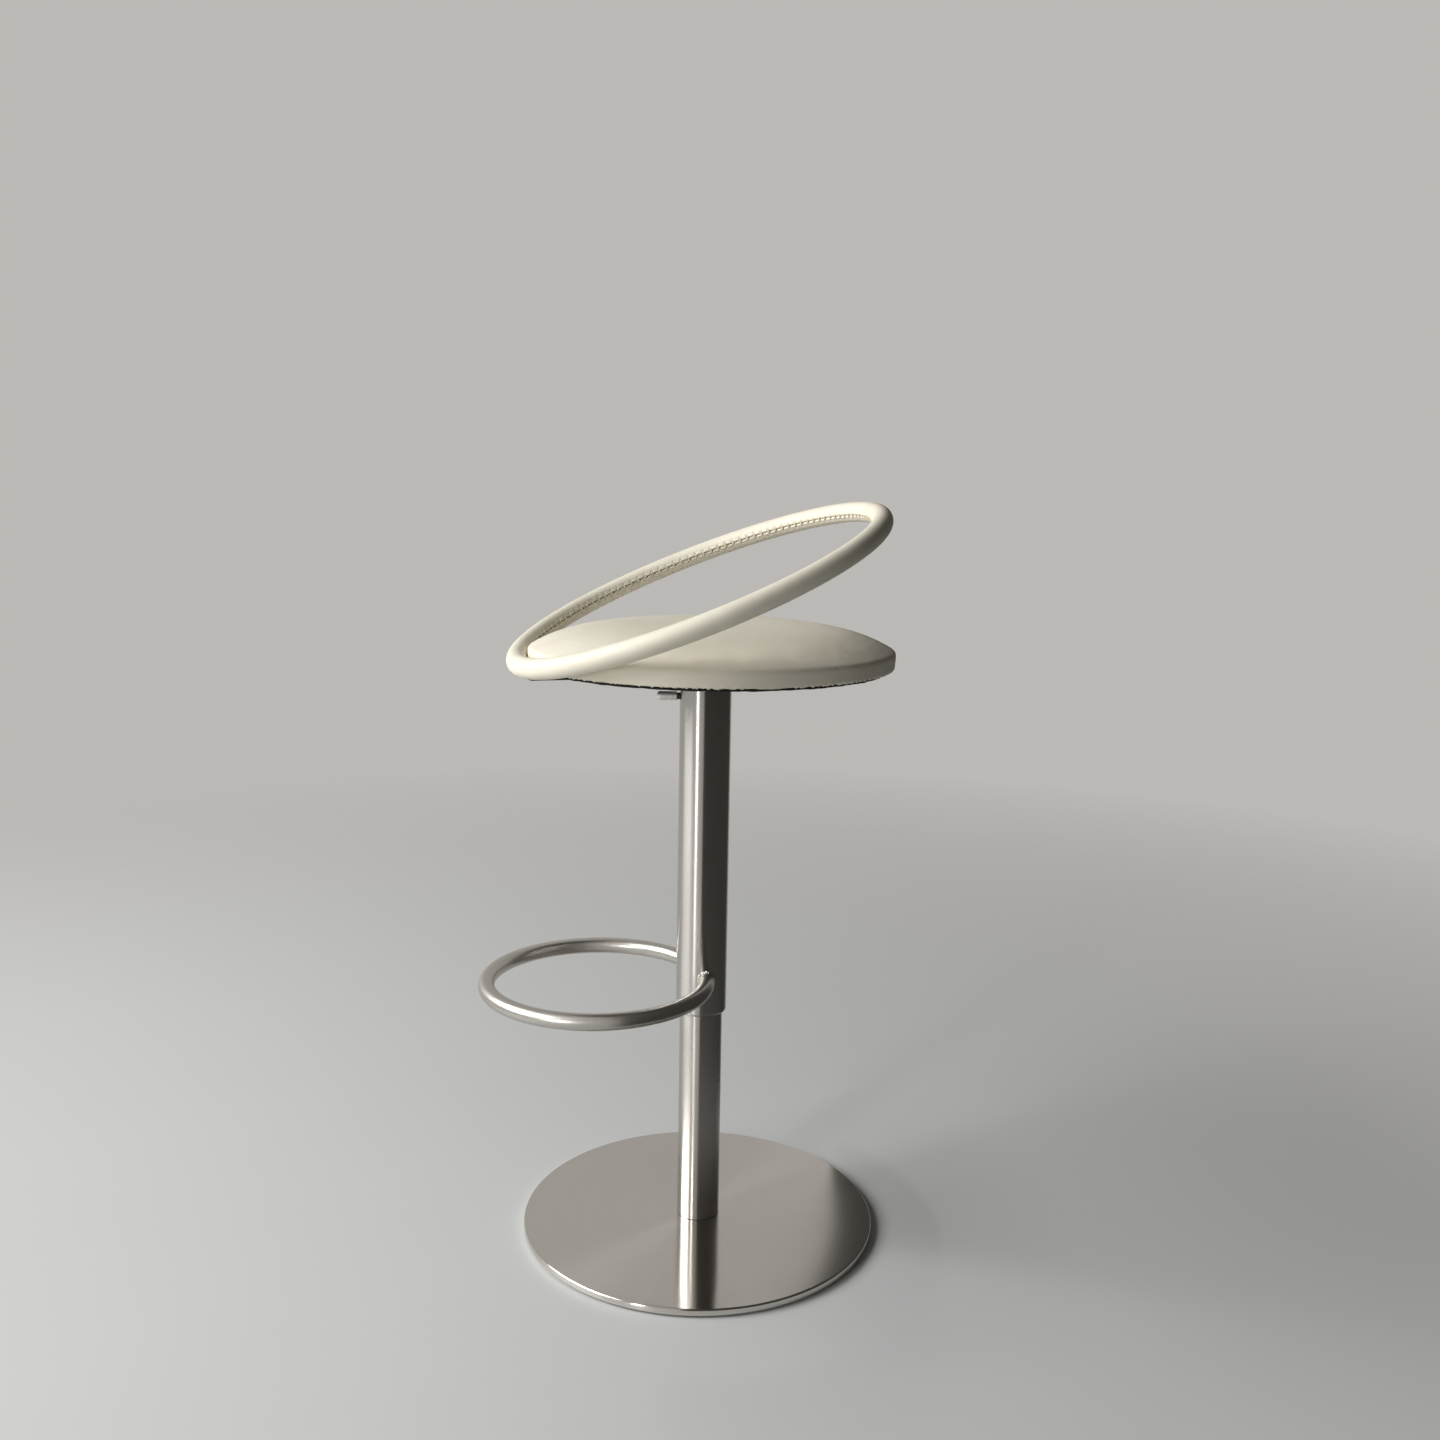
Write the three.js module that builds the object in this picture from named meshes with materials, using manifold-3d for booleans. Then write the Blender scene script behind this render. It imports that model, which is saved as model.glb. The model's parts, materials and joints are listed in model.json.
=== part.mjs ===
// Counter stool: a round cushion and a tilted ring backrest on a gas column,
// with a ring footrest, over a flat round base. Millimetres, +Z up.
// The origin is on the floor under the column, and the front faces -Y.

import * as THREE from 'three';
import { mergeVertices } from 'three/addons/utils/BufferGeometryUtils.js';
import Module from 'manifold-3d';

const wasm = await Module();
wasm.setup();

// Clearances
const restGap = 0.3; // between two pieces that touch at rest
const slideGap = 0.3; // round a piece that slides or turns in another
const ballGap = 0.2; // between a bearing ball and its races
const cutOverrun = 5; // how far a cut runs past the face that it leaves

// Travel
const dropTravel = 140; // the seat's travel down from the height shown
const riseTravel = 60; // and up
const leverTravel = 3.5; // degrees that the lever is pressed down

// Base plate and its pad
const plateRadius = 212;
const plateThickness = 8;
const plateTopRound = 2.4;
const plateBottomRound = 1.2;
const padInset = 4;
const padThickness = 2;

// Column tubes
const lowerTubeRadius = 25.4;
const lowerTubeWall = 1.5;
const upperTubeWall = 2;
const upperTubeLength = 408.3;
const slideBushWall = 2; // of the plastic bush between the two tubes
const shoulderRound = 4.2; // the lower end is rolled in
const shoulderLip = 2;
const lipClearance = 0.6; // between the rolled lip and the lower tube

// Foot of the column, welded in the lower tube and bolted to the plate
const footHeight = 30;
const footPocketPlay = 1.5; // round the washer in the foot's pocket
const footPocketDepth = 12;
const baseBoltCount = 4;
const baseBoltRadius = 3;
const baseBoltHeadRadius = 5.6;
const baseBoltHeadRim = 0.8;
const baseBoltHeadHeight = 3.4;
const baseBoltLength = 24;

// Gas spring rod, its clip, washer and ball bearing
const rodRadius = 6;
const rodNeckRadius = 4.7;
const rodTail = 3;
const clipThickness = 1.2;
const clipRadius = 8;
const clipGrooveDepth = 1;
const washerThickness = 1.5;
const washerRadius = 10.5;
const raceThickness = 2;
const raceRim = 1; // past the cage
const ballCount = 6;
const ballRadius = 2.5;
const cageThickness = 2;
const cageRim = 1.3; // left beside a ball's pocket
const cagePlay = 1.4; // round the rod's neck
const bufferHeight = 13;
const bufferRadius = 12;

// Piston on the rod's upper end
const pistonHeight = 14;
const pistonRingHeight = 2.4;
const pistonRingDepth = 1.4;
const rodEndRadius = 4;
const rodEndTail = 1;
const pistonNutRadius = 7;
const pistonNutHeight = 5;

// Gas cylinder, its rod guide, seal and valve pin
const cylinderRadius = 14;
const cylinderWall = 1.5;
const cylinderTopWall = 8;
const cylinderLip = 1.5;
const cylinderLipReach = 1.2;
const cylinderTaper = 0.8;
const guideHeight = 20;
const sealHeight = 5;
const valvePinRadius = 3;
const valvePinOut = 8;
const valveHeadRadius = 5;
const valveHeadHeight = 4;

// Hub that joins the cylinder to the upper tube, and the plastic guides
const hubHeight = 26;
const hubBelowTop = 2;
const hubClearance = 20; // left over the lower tube when the seat is lowest
const topGuideFlange = 3;
const topGuideSleeve = 45;
const topGuideSkirt = 20;
const slideBushHeight = 45;

// Ring footrest
const footrestTubeRadius = 9.5;
const footrestTubeWall = 1.5;
const footrestRadius = 128;
const footrestSetback = 1; // its centre line would pass this far behind the column's axis
const footrestRise = 46.6; // above the upper tube's lower end

// Seat
const seatUnderside = 684.3; // height of the seat's lowest face
const seatSetback = 6.5; // its centre behind the column's axis
const seatRadius = 210.5;
const sideHeight = 14.2; // from the leather's lower edge to its widest place
const crownHeight = 33.8; // from the widest place to the top
const sideTuck = 3.4; // how far the sides draw in to the board
const leatherThickness = 1.5;
const leatherHem = 26; // turned in under the board
const dustCoverThickness = 3;
const dustCoverInset = 2.3; // from the board's edge
const boardThickness = 11;
const crownSpanShare = 3.4; // exponent that shapes the crown across
const crownRiseShare = 1.66; // exponent that shapes the crown upwards

// Plate under the seat with its bolts and T-nuts
const seatPlateSide = 160;
const seatPlateThickness = 5;
const seatPlateCorner = 20;
const plateBoltRadius = 4;
const plateBoltHeadRadius = 7.4;
const plateBoltHeadHeight = 5.3;
const teeNutRadius = 5.3;
const teeNutLength = 8;
const teeNutFlangeRadius = 9.5;
const teeNutFlangeHeight = 1.5;

// Release lever and its pivot
const leverDrop = 34.3; // its centre below the seat's underside
const leverTurn = 16.5; // degrees from the front, towards -X
const leverRodRadius = 4;
const pivotInset = 7; // from the tube's inner wall to the pivot
const leverTail = 3.4; // past the pivot
const gripRadius = 5.3;
const gripStart = 3.5; // from the tube's wall
const gripEnd = 26.5;
const gripRound = 3.6;
const gripFloor = 4;
const slotSide = 0.7; // clearance each side of the lever in its slot
const pivotPinRadius = 2;
const pivotHeadRadius = 3.2;
const pivotHeadThickness = 1.2;
const bracketHalfWidth = 8.5;
const bracketDepth = 11;
const bracketBelow = 6.5;
const bracketBridge = 4;
const bracketPlay = 0.8;

// Ring backrest
const ringTilt = 22.9; // degrees, low at the front
const ringInset = 0.7; // its sleeve's inner edge is this much narrower than the seat
const ringFrontGap = 0.35; // between sleeve and seat at the front, seen from above
const ringRise = 6.8; // the tube's centre at the front, above the bracket
const ringTubeRadius = 9.5;
const ringTubeWall = 1.5;
const ringCoverThickness = 2.2;
const ringSeam = 0.8; // gap between the sleeve's two sewn edges
const ventRadius = 2;
const ringBracketWidth = 100;
const ringBracketThickness = 4;
const ringBracketGap = 20; // from its rear end to the seat plate
const ringBracketPlay = 0.5;
const bracketScrewRadius = 2.5;
const bracketScrewHeadRadius = 5;
const bracketScrewHeadHeight = 2.6;
const bracketScrewShort = 2.4; // its tip below the board's top
const bracketScrewSpacing = 60;
const bracketScrewEdge = 39; // front pair, behind the seat's front edge
const bracketScrewEnd = 12; // rear pair, in front of the bracket's rear end

// How finely round shapes are divided
const plateSteps = 64;
const tubeSteps = 36;
const cylinderSteps = 20;
const smallSteps = 12;
const ballSteps = 8;
const hexSides = 6;
const ringSteps = 48;
const sectionSteps = 12;
const sleeveSteps = 8;
const boreSteps = 6;
const seatSteps = 40;
const crownSteps = 8;
const tuckSteps = 3;
const edgeSteps = 2;
const cornerSteps = 4;
const mergeDistance = 1e-4;

// Heights, from the floor up
const plateBottom = padThickness + restGap;
const plateTop = plateBottom + plateThickness;
const footBottom = plateTop + restGap;
const footTop = footBottom + footHeight;
const pocketTop = footBottom + footPocketDepth;
const washerTop = pocketTop - restGap;
const clipTop = washerTop - washerThickness - restGap;
const clipBottom = clipTop - clipThickness;
const lowerRaceBottom = footTop + restGap;
const ballHeight = lowerRaceBottom + raceThickness + ballGap + ballRadius;
const upperRaceBottom = ballHeight + ballRadius + ballGap;
const rodShoulder = upperRaceBottom + raceThickness + restGap;
const bufferTop = rodShoulder + bufferHeight;
const cylinderBottom = bufferTop + restGap + dropTravel;
const guideTop = cylinderBottom + cylinderLip + restGap + guideHeight;
const sealTop = guideTop + restGap + sealHeight;
const pistonBottom = sealTop + restGap + riseTravel;
const pistonTop = pistonBottom + pistonHeight;

// Heights, from the seat down
const hemBottom = seatUnderside + dustCoverThickness + restGap;
const boardBottom = hemBottom + leatherThickness + restGap;
const boardTop = boardBottom + boardThickness;
const foamBottom = boardTop + restGap;
const seatWidest = hemBottom + sideHeight;
const seatPlateTop = seatUnderside - restGap;
const seatPlateBottom = seatPlateTop - seatPlateThickness;
const upperTubeTop = seatPlateBottom - restGap;
const upperTubeBottom = upperTubeTop - upperTubeLength;
const leverHeight = seatUnderside - leverDrop;
const valvePinTop = leverHeight - leverRodRadius - restGap;
const cylinderTop = valvePinTop - valvePinOut;
const hubTop = cylinderTop - hubBelowTop;
const hubBottom = hubTop - hubHeight;
const topGuideTop = hubBottom - dropTravel - hubClearance;
const lowerTubeTop = topGuideTop - topGuideFlange - restGap;
const ringBracketTop = seatPlateTop;
const ringBracketBottom = ringBracketTop - ringBracketThickness;

// Radii that follow others
const lowerTubeInner = lowerTubeRadius - lowerTubeWall;
const upperTubeInner = lowerTubeRadius + slideGap + slideBushWall + restGap;
const upperTubeRadius = upperTubeInner + upperTubeWall;
const cylinderInner = cylinderRadius - cylinderWall;
const neckHole = rodNeckRadius + slideGap;
const footPocketRadius = washerRadius + footPocketPlay;
const baseBoltCircle = (footPocketRadius + lowerTubeInner - restGap) / 2;
const cageInner = neckHole + cagePlay;
const ballCircle = cageInner + cageRim + ballRadius;
const cageOuter = ballCircle + ballRadius + cageRim;
const raceRadius = cageOuter + raceRim;
const pivotReach = upperTubeInner - pivotInset;
const footrestReach = footrestRadius - footrestSetback;
const boardRadius = seatRadius - sideTuck - leatherThickness - restGap;

// The ring backrest follows the seat
const ringCoverRadius = ringTubeRadius + ringCoverThickness;
const ringRadius = seatRadius - ringInset + ringCoverRadius;
const ringFront = seatRadius - seatSetback + ringFrontGap + ringCoverRadius;
const ringForward = ringFront - ringRadius * Math.cos(radians(ringTilt));
const ringHeight = ringBracketTop + ringRise + ringRadius * Math.sin(radians(ringTilt));
const ringBracketEnd = seatPlateSide / 2 + ringBracketGap;
const bracketScrewFront = seatRadius - seatSetback - bracketScrewEdge;
const bracketScrewRear = ringBracketEnd + bracketScrewEnd;
const bracketScrewTop = boardTop - bracketScrewShort;

const white = 0xf2efe2;
const cream = leather(white);
const brushed = metal(0xb9b4ab, 0.34);
const brushedDark = metal(0xa9a49b, 0.38);
const zinc = metal(0x9c9c9a, 0.45);
const polished = metal(0xc9c9c7, 0.18);
const blackSteel = metal(0x2b2b2c, 0.5);
const blackPlastic = plain(0x161618, 0.6);
const whitePlastic = plain(0xd9d7cf, 0.55);
const rubber = plain(0x111111, 0.85);
const plywood = plain(0xb98f5c, 0.75);
const foam = plain(0xd8cf9f, 0.9);

function metal(color, roughness) {
  return new THREE.MeshStandardMaterial({ color, roughness, metalness: 1 });
}

function plain(color, roughness) {
  return new THREE.MeshStandardMaterial({ color, roughness, metalness: 0 });
}

function leather(color) {
  return new THREE.MeshStandardMaterial({ color, roughness: 0.5, metalness: 0 });
}

function radians(degrees) {
  return THREE.MathUtils.degToRad(degrees);
}

function point(across, up) {
  return new THREE.Vector2(across, up);
}

// Points of an arc about a centre, from one angle to another, both in degrees
function arc(across, up, radius, from, to, steps) {
  const points = [];
  for (let i = 0; i <= steps; i += 1) {
    const angle = radians(from + (to - from) * i / steps);
    points.push(point(across + radius * Math.cos(angle), up + radius * Math.sin(angle)));
  }
  return points;
}

// Six times the volume is positive where the faces point out
function facingOut(geometry) {
  const solid = geometry.index ? geometry.toNonIndexed() : geometry;
  const place = solid.getAttribute('position');
  const corners = [new THREE.Vector3(), new THREE.Vector3(), new THREE.Vector3()];
  let volume = 0;
  for (let i = 0; i < place.count; i += 3) {
    corners.forEach((corner, k) => corner.fromBufferAttribute(place, i + k));
    volume += corners[0].dot(corners[1].clone().cross(corners[2]));
  }
  if (volume >= 0) return solid;
  for (let i = 0; i < place.count; i += 3) {
    const [x, y, z] = [place.getX(i + 1), place.getY(i + 1), place.getZ(i + 1)];
    place.setXYZ(i + 1, place.getX(i + 2), place.getY(i + 2), place.getZ(i + 2));
    place.setXYZ(i + 2, x, y, z);
  }
  return solid;
}

// A profile of radius and height, turned about the Z axis
function turned(points, steps) {
  return facingOut(new THREE.LatheGeometry(points, steps).rotateX(Math.PI / 2));
}

function rod(radius, bottom, top, steps = smallSteps) {
  return turned([point(0, bottom), point(radius, bottom), point(radius, top), point(0, top)], steps);
}

function sleeve(inner, outer, bottom, top, steps = smallSteps) {
  const ring = [point(inner, bottom), point(outer, bottom), point(outer, top), point(inner, top)];
  return turned([...ring, ring[0]], steps);
}

// A ring of round section about the Z axis
function hoop(radius, section, steps) {
  return turned(arc(radius, 0, section, 0, 360, steps), ringSteps);
}

function block(left, right, front, back, bottom, top) {
  const box = new THREE.BoxGeometry(right - left, back - front, top - bottom);
  return box.translate((left + right) / 2, (front + back) / 2, (bottom + top) / 2);
}

function moved(geometry, x, y, z = 0) {
  return geometry.clone().translate(x, y, z);
}

// Closed mesh to a solid that can be cut and joined
function solidOf(geometry) {
  const bare = geometry.clone();
  bare.deleteAttribute('normal');
  bare.deleteAttribute('uv');
  const merged = mergeVertices(bare, mergeDistance);
  const corners = merged.index.array;
  const kept = [];
  for (let i = 0; i < corners.length; i += 3) {
    const [a, b, c] = [corners[i], corners[i + 1], corners[i + 2]];
    if (a !== b && b !== c && c !== a) kept.push(a, b, c);
  }
  return new wasm.Manifold(new wasm.Mesh({
    numProp: 3,
    vertProperties: Float32Array.from(merged.getAttribute('position').array),
    triVerts: Uint32Array.from(kept),
  }));
}

function geometryOf(solid) {
  const mesh = solid.getMesh();
  const geometry = new THREE.BufferGeometry();
  geometry.setAttribute('position', new THREE.BufferAttribute(Float32Array.from(mesh.vertProperties), 3));
  geometry.setIndex(Array.from(mesh.triVerts));
  geometry.computeVertexNormals();
  return geometry;
}

function cut(geometry, ...tools) {
  let solid = solidOf(geometry);
  for (const tool of tools) solid = solid.subtract(solidOf(tool));
  return geometryOf(solid);
}

function joined(geometry, ...others) {
  let solid = solidOf(geometry);
  for (const other of others) solid = solid.add(solidOf(other));
  return geometryOf(solid);
}

const stool = new THREE.Group();

function add(name, geometry, material, parent = stool) {
  const mesh = new THREE.Mesh(geometry, material);
  mesh.name = name;
  parent.add(mesh);
  return mesh;
}

// Places of a square or round pattern of fasteners
function boltCircle(radius, count) {
  return Array.from({ length: count }, (_, i) => {
    const angle = Math.PI / count + 2 * Math.PI * i / count;
    return [radius * Math.cos(angle), radius * Math.sin(angle)];
  });
}

function plateBoltPlaces() {
  const half = seatPlateSide / 2 - seatPlateCorner;
  return [[-half, -half], [half, -half], [half, half], [-half, half]];
}

function bracketScrewPlaces() {
  const half = bracketScrewSpacing / 2;
  return [
    [-half, -bracketScrewFront],
    [half, -bracketScrewFront],
    [-half, -bracketScrewRear],
    [half, -bracketScrewRear],
  ];
}

function countersunk(grow, bottom) {
  const rim = plateBottom + restGap + baseBoltHeadRim + grow;
  const throat = plateBottom + restGap + baseBoltHeadHeight + grow;
  const tip = plateBottom + restGap + baseBoltLength + grow;
  return turned([
    point(0, bottom),
    point(baseBoltHeadRadius + grow, bottom),
    point(baseBoltHeadRadius + grow, rim),
    point(baseBoltRadius + grow, throat),
    point(baseBoltRadius + grow, tip),
    point(0, tip),
  ], smallSteps);
}

function addBase() {
  const boltCuts = boltCircle(baseBoltCircle, baseBoltCount)
    .map(([x, y]) => moved(countersunk(restGap, plateBottom - cutOverrun), x, y));
  add('floor_pad', rod(plateRadius - padInset, 0, padThickness, tubeSteps), rubber);

  const [low, high] = [plateBottomRound, plateTopRound];
  const plate = turned([
    point(0, plateBottom),
    ...arc(plateRadius - low, plateBottom + low, low, -90, 0, edgeSteps),
    ...arc(plateRadius - high, plateTop - high, high, 0, 90, edgeSteps),
    point(0, plateTop),
  ], plateSteps);
  add('base_plate', cut(plate, ...boltCuts), brushed);

  const foot = turned([
    point(neckHole, pocketTop),
    point(footPocketRadius, pocketTop),
    point(footPocketRadius, footBottom),
    point(lowerTubeInner - restGap, footBottom),
    point(lowerTubeInner - restGap, footTop),
    point(neckHole, footTop),
    point(neckHole, pocketTop),
  ], tubeSteps);
  add('column_foot', cut(foot, ...boltCuts), zinc);

  boltCircle(baseBoltCircle, baseBoltCount).forEach(([x, y], i) => {
    add(`base_bolt_${i + 1}`, countersunk(0, plateBottom + restGap), zinc).position.set(x, y, 0);
  });
}

function addLowerTube() {
  add('lower_tube', sleeve(lowerTubeInner, lowerTubeRadius, footBottom, lowerTubeTop, tubeSteps), brushed);

  // One plastic guide caps the tube: its sleeve centres the cylinder, its skirt the upper tube
  const sleeveInner = cylinderRadius + slideGap;
  const skirtInner = lowerTubeRadius + restGap;
  const skirtOuter = upperTubeInner - slideGap;
  const capBottom = topGuideTop - topGuideFlange;
  const profile = [
    point(sleeveInner, capBottom - topGuideSleeve),
    point(lowerTubeInner - restGap, capBottom - topGuideSleeve),
    point(lowerTubeInner - restGap, capBottom),
    point(skirtInner, capBottom),
    point(skirtInner, capBottom - topGuideSkirt),
    point(skirtOuter, capBottom - topGuideSkirt),
    point(skirtOuter, topGuideTop),
    point(sleeveInner, topGuideTop),
  ];
  add('tube_top_guide', turned([...profile, profile[0]], tubeSteps), whitePlastic);
}

function addBearing() {
  const raceTop = lowerRaceBottom + raceThickness;
  add('rod_washer', sleeve(neckHole, washerRadius, washerTop - washerThickness, washerTop), zinc);
  add('lower_race', sleeve(neckHole, raceRadius, lowerRaceBottom, raceTop), polished);
  add('upper_race', sleeve(neckHole, raceRadius, upperRaceBottom, upperRaceBottom + raceThickness), polished);

  const places = boltCircle(ballCircle, ballCount);
  const cageBottom = ballHeight - cageThickness / 2;
  const cageTop = ballHeight + cageThickness / 2;
  const pockets = places.map(([x, y]) => moved(
    rod(ballRadius + slideGap, cageBottom - cutOverrun, cageTop + cutOverrun, ballSteps), x, y));
  add('bearing_cage', cut(sleeve(cageInner, cageOuter, cageBottom, cageTop), ...pockets), whitePlastic);
  places.forEach(([x, y], i) => {
    const ball = turned(arc(0, 0, ballRadius, -90, 90, ballSteps / 2), ballSteps);
    add(`bearing_ball_${i + 1}`, ball, polished).position.set(x, y, ballHeight);
  });
}

function addRod() {
  const grooveRadius = rodNeckRadius - clipGrooveDepth;
  const shaft = turned([
    point(0, clipBottom - restGap - rodTail),
    point(rodNeckRadius, clipBottom - restGap - rodTail),
    point(rodNeckRadius, clipBottom - restGap),
    point(grooveRadius, clipBottom - restGap),
    point(grooveRadius, clipTop + restGap),
    point(rodNeckRadius, clipTop + restGap),
    point(rodNeckRadius, rodShoulder),
    point(rodRadius, rodShoulder),
    point(rodRadius, pistonBottom - restGap),
    point(rodEndRadius, pistonBottom - restGap),
    point(rodEndRadius, pistonTop + restGap + pistonNutHeight + rodEndTail),
    point(0, pistonTop + restGap + pistonNutHeight + rodEndTail),
  ], smallSteps);
  add('piston_rod', shaft, polished);
  add('rod_clip', sleeve(grooveRadius + restGap, clipRadius, clipBottom, clipTop), blackSteel);
  add('rod_buffer', sleeve(rodRadius + slideGap, bufferRadius, rodShoulder, bufferTop), rubber);

  const pistonRadius = cylinderInner - slideGap;
  const ringBottom = (pistonBottom + pistonTop - pistonRingHeight) / 2;
  const ringTop = ringBottom + pistonRingHeight;
  const pistonProfile = [
    point(rodEndRadius + restGap, pistonBottom),
    point(pistonRadius, pistonBottom),
    point(pistonRadius, ringBottom - restGap),
    point(pistonRadius - pistonRingDepth - restGap, ringBottom - restGap),
    point(pistonRadius - pistonRingDepth - restGap, ringTop + restGap),
    point(pistonRadius, ringTop + restGap),
    point(pistonRadius, pistonTop),
    point(rodEndRadius + restGap, pistonTop),
  ];
  add('piston', turned([...pistonProfile, pistonProfile[0]], cylinderSteps), zinc);
  const ringInner = pistonRadius - pistonRingDepth;
  add('piston_ring', sleeve(ringInner, pistonRadius, ringBottom, ringTop, cylinderSteps), rubber);
  const nutBottom = pistonTop + restGap;
  const nutTop = nutBottom + pistonNutHeight;
  add('piston_nut', sleeve(rodEndRadius + restGap, pistonNutRadius, nutBottom, nutTop), zinc);
}

function addCylinder() {
  const taperTop = cylinderRadius - cylinderTaper;
  const innerTop = cylinderTop - cylinderTopWall;
  const pinHole = valvePinRadius + slideGap;
  const profile = [
    point(cylinderInner - cylinderLipReach, cylinderBottom),
    point(cylinderRadius, cylinderBottom),
    point(cylinderRadius, hubBottom),
    point(taperTop, hubTop),
    point(taperTop, cylinderTop),
    point(pinHole, cylinderTop),
    point(pinHole, innerTop),
    point(cylinderInner - cylinderTaper, innerTop),
    point(cylinderInner - cylinderTaper, hubBottom - cylinderTopWall),
    point(cylinderInner, hubBottom - cylinderTopWall - cylinderTaper),
    point(cylinderInner, cylinderBottom + cylinderLip),
    point(cylinderInner - cylinderLipReach, cylinderBottom + cylinderLip),
  ];
  add('gas_cylinder', turned([...profile, profile[0]], cylinderSteps), blackSteel);

  const guideOuter = cylinderInner - restGap;
  const guideInner = rodRadius + slideGap;
  const guideBottom = guideTop - guideHeight;
  const sealBottom = sealTop - sealHeight;
  add('rod_guide', sleeve(guideInner, guideOuter, guideBottom, guideTop, cylinderSteps), whitePlastic);
  add('rod_seal', sleeve(guideInner, guideOuter, sealBottom, sealTop, cylinderSteps), rubber);

  const hubProfile = [
    point(cylinderRadius + restGap, hubBottom),
    point(upperTubeInner - restGap, hubBottom),
    point(upperTubeInner - restGap, hubTop),
    point(taperTop + restGap, hubTop),
  ];
  add('cylinder_hub', turned([...hubProfile, hubProfile[0]], tubeSteps), zinc);

  const headTop = innerTop - restGap;
  add('valve_pin', turned([
    point(0, headTop - valveHeadHeight),
    point(valveHeadRadius, headTop - valveHeadHeight),
    point(valveHeadRadius, headTop),
    point(valvePinRadius, headTop),
    point(valvePinRadius, valvePinTop),
    point(0, valvePinTop),
  ], smallSteps), polished);
}

// Slot in the tube's wall, long enough for the lever's whole travel
function leverSlot() {
  const drop = (upperTubeRadius + pivotReach) * Math.sin(radians(leverTravel));
  const half = leverRodRadius + slotSide;
  const bottom = leverHeight - drop - half;
  const slot = block(-half, half, -upperTubeRadius - cutOverrun, 0, bottom, leverHeight + half);
  return slot.rotateZ(radians(-leverTurn));
}

function addUpperTube() {
  const lip = lowerTubeRadius + lipClearance;
  const roundRadius = shoulderRound;
  const profile = [
    point(lip, upperTubeBottom),
    ...arc(upperTubeRadius - roundRadius, upperTubeBottom + roundRadius, roundRadius, -90, 0, edgeSteps),
    point(upperTubeRadius, upperTubeTop),
    point(upperTubeInner, upperTubeTop),
    point(upperTubeInner, upperTubeBottom + shoulderLip),
    point(lip, upperTubeBottom + shoulderLip),
  ];
  add('upper_tube', cut(turned([...profile, profile[0]], tubeSteps), leverSlot()), brushed);

  const bushBottom = upperTubeBottom + shoulderLip + restGap;
  const bushInner = lowerTubeRadius + slideGap;
  const bushOuter = upperTubeInner - restGap;
  const bushTop = bushBottom + slideBushHeight;
  add('slide_bush', sleeve(bushInner, bushOuter, bushBottom, bushTop, tubeSteps), blackPlastic);
}

// The ring runs round in front and is welded to both sides of the column
function addFootrest() {
  const height = upperTubeBottom + footrestRise;
  const outside = moved(hoop(footrestRadius, footrestTubeRadius, sectionSteps), 0, -footrestReach, height);
  const bore = moved(
    hoop(footrestRadius, footrestTubeRadius - footrestTubeWall, boreSteps), 0, -footrestReach, height);
  const above = height + footrestTubeRadius + cutOverrun;
  const below = height - footrestTubeRadius - cutOverrun;
  const column = rod(upperTubeRadius + restGap, below, above, tubeSteps);
  add('footrest_ring', cut(outside, bore, column), brushedDark);
}

function addLever() {
  const group = new THREE.Group();
  group.position.z = leverHeight;
  group.rotation.z = radians(-leverTurn);
  stool.add(group);
  const gripFront = upperTubeRadius + gripEnd;
  const gripBack = upperTubeRadius + gripStart;

  // Turned along Z, then laid down so that Z points to the front
  const layDown = (geometry) => geometry.rotateX(Math.PI / 2);
  const arm = layDown(rod(leverRodRadius, -pivotReach - leverTail, gripFront - gripFloor - restGap));
  const pinHole = rod(pivotPinRadius + slideGap, -cutOverrun - leverRodRadius, cutOverrun + leverRodRadius)
    .rotateY(Math.PI / 2)
    .translate(0, pivotReach, 0);
  add('release_lever', cut(arm, pinHole), blackSteel, group);

  const socket = leverRodRadius + restGap;
  const grip = turned([
    point(socket, gripBack),
    point(gripRadius, gripBack),
    ...arc(gripRadius - gripRound, gripFront - gripRound, gripRound, 0, 90, edgeSteps),
    point(0, gripFront),
    point(0, gripFront - gripFloor),
    point(socket, gripFront - gripFloor),
    point(socket, gripBack),
  ], smallSteps);
  add('lever_grip', layDown(grip), polished, group);

  const slotHalf = leverRodRadius + slotSide;
  const bridge = leverRodRadius + bracketPlay;
  const wall = upperTubeInner - restGap;
  const front = wall - bracketDepth;
  const top = bridge + bracketBridge;
  const outline = block(-bracketHalfWidth, bracketHalfWidth, front, wall, -bracketBelow, top);
  const inside = rod(wall, -bracketBelow - cutOverrun, top + cutOverrun, tubeSteps);
  const slot = block(
    -slotHalf, slotHalf, front - cutOverrun, wall + cutOverrun, -bracketBelow - cutOverrun, bridge);
  const pinWay = rod(pivotPinRadius + slideGap, -bracketHalfWidth - cutOverrun, bracketHalfWidth + cutOverrun)
    .rotateY(Math.PI / 2)
    .translate(0, pivotReach, 0);
  const ears = solidOf(outline)
    .intersect(solidOf(inside))
    .subtract(solidOf(slot))
    .subtract(solidOf(pinWay));
  add('lever_bracket', geometryOf(ears), zinc, group);

  const pinEnd = bracketHalfWidth + restGap;
  const pin = turned([
    point(0, -bracketHalfWidth),
    point(pivotPinRadius, -bracketHalfWidth),
    point(pivotPinRadius, pinEnd),
    point(pivotHeadRadius, pinEnd),
    point(pivotHeadRadius, pinEnd + pivotHeadThickness),
    point(0, pinEnd + pivotHeadThickness),
  ], smallSteps).rotateY(Math.PI / 2);
  add('lever_pin', pin, zinc, group).position.y = pivotReach;
}

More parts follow.
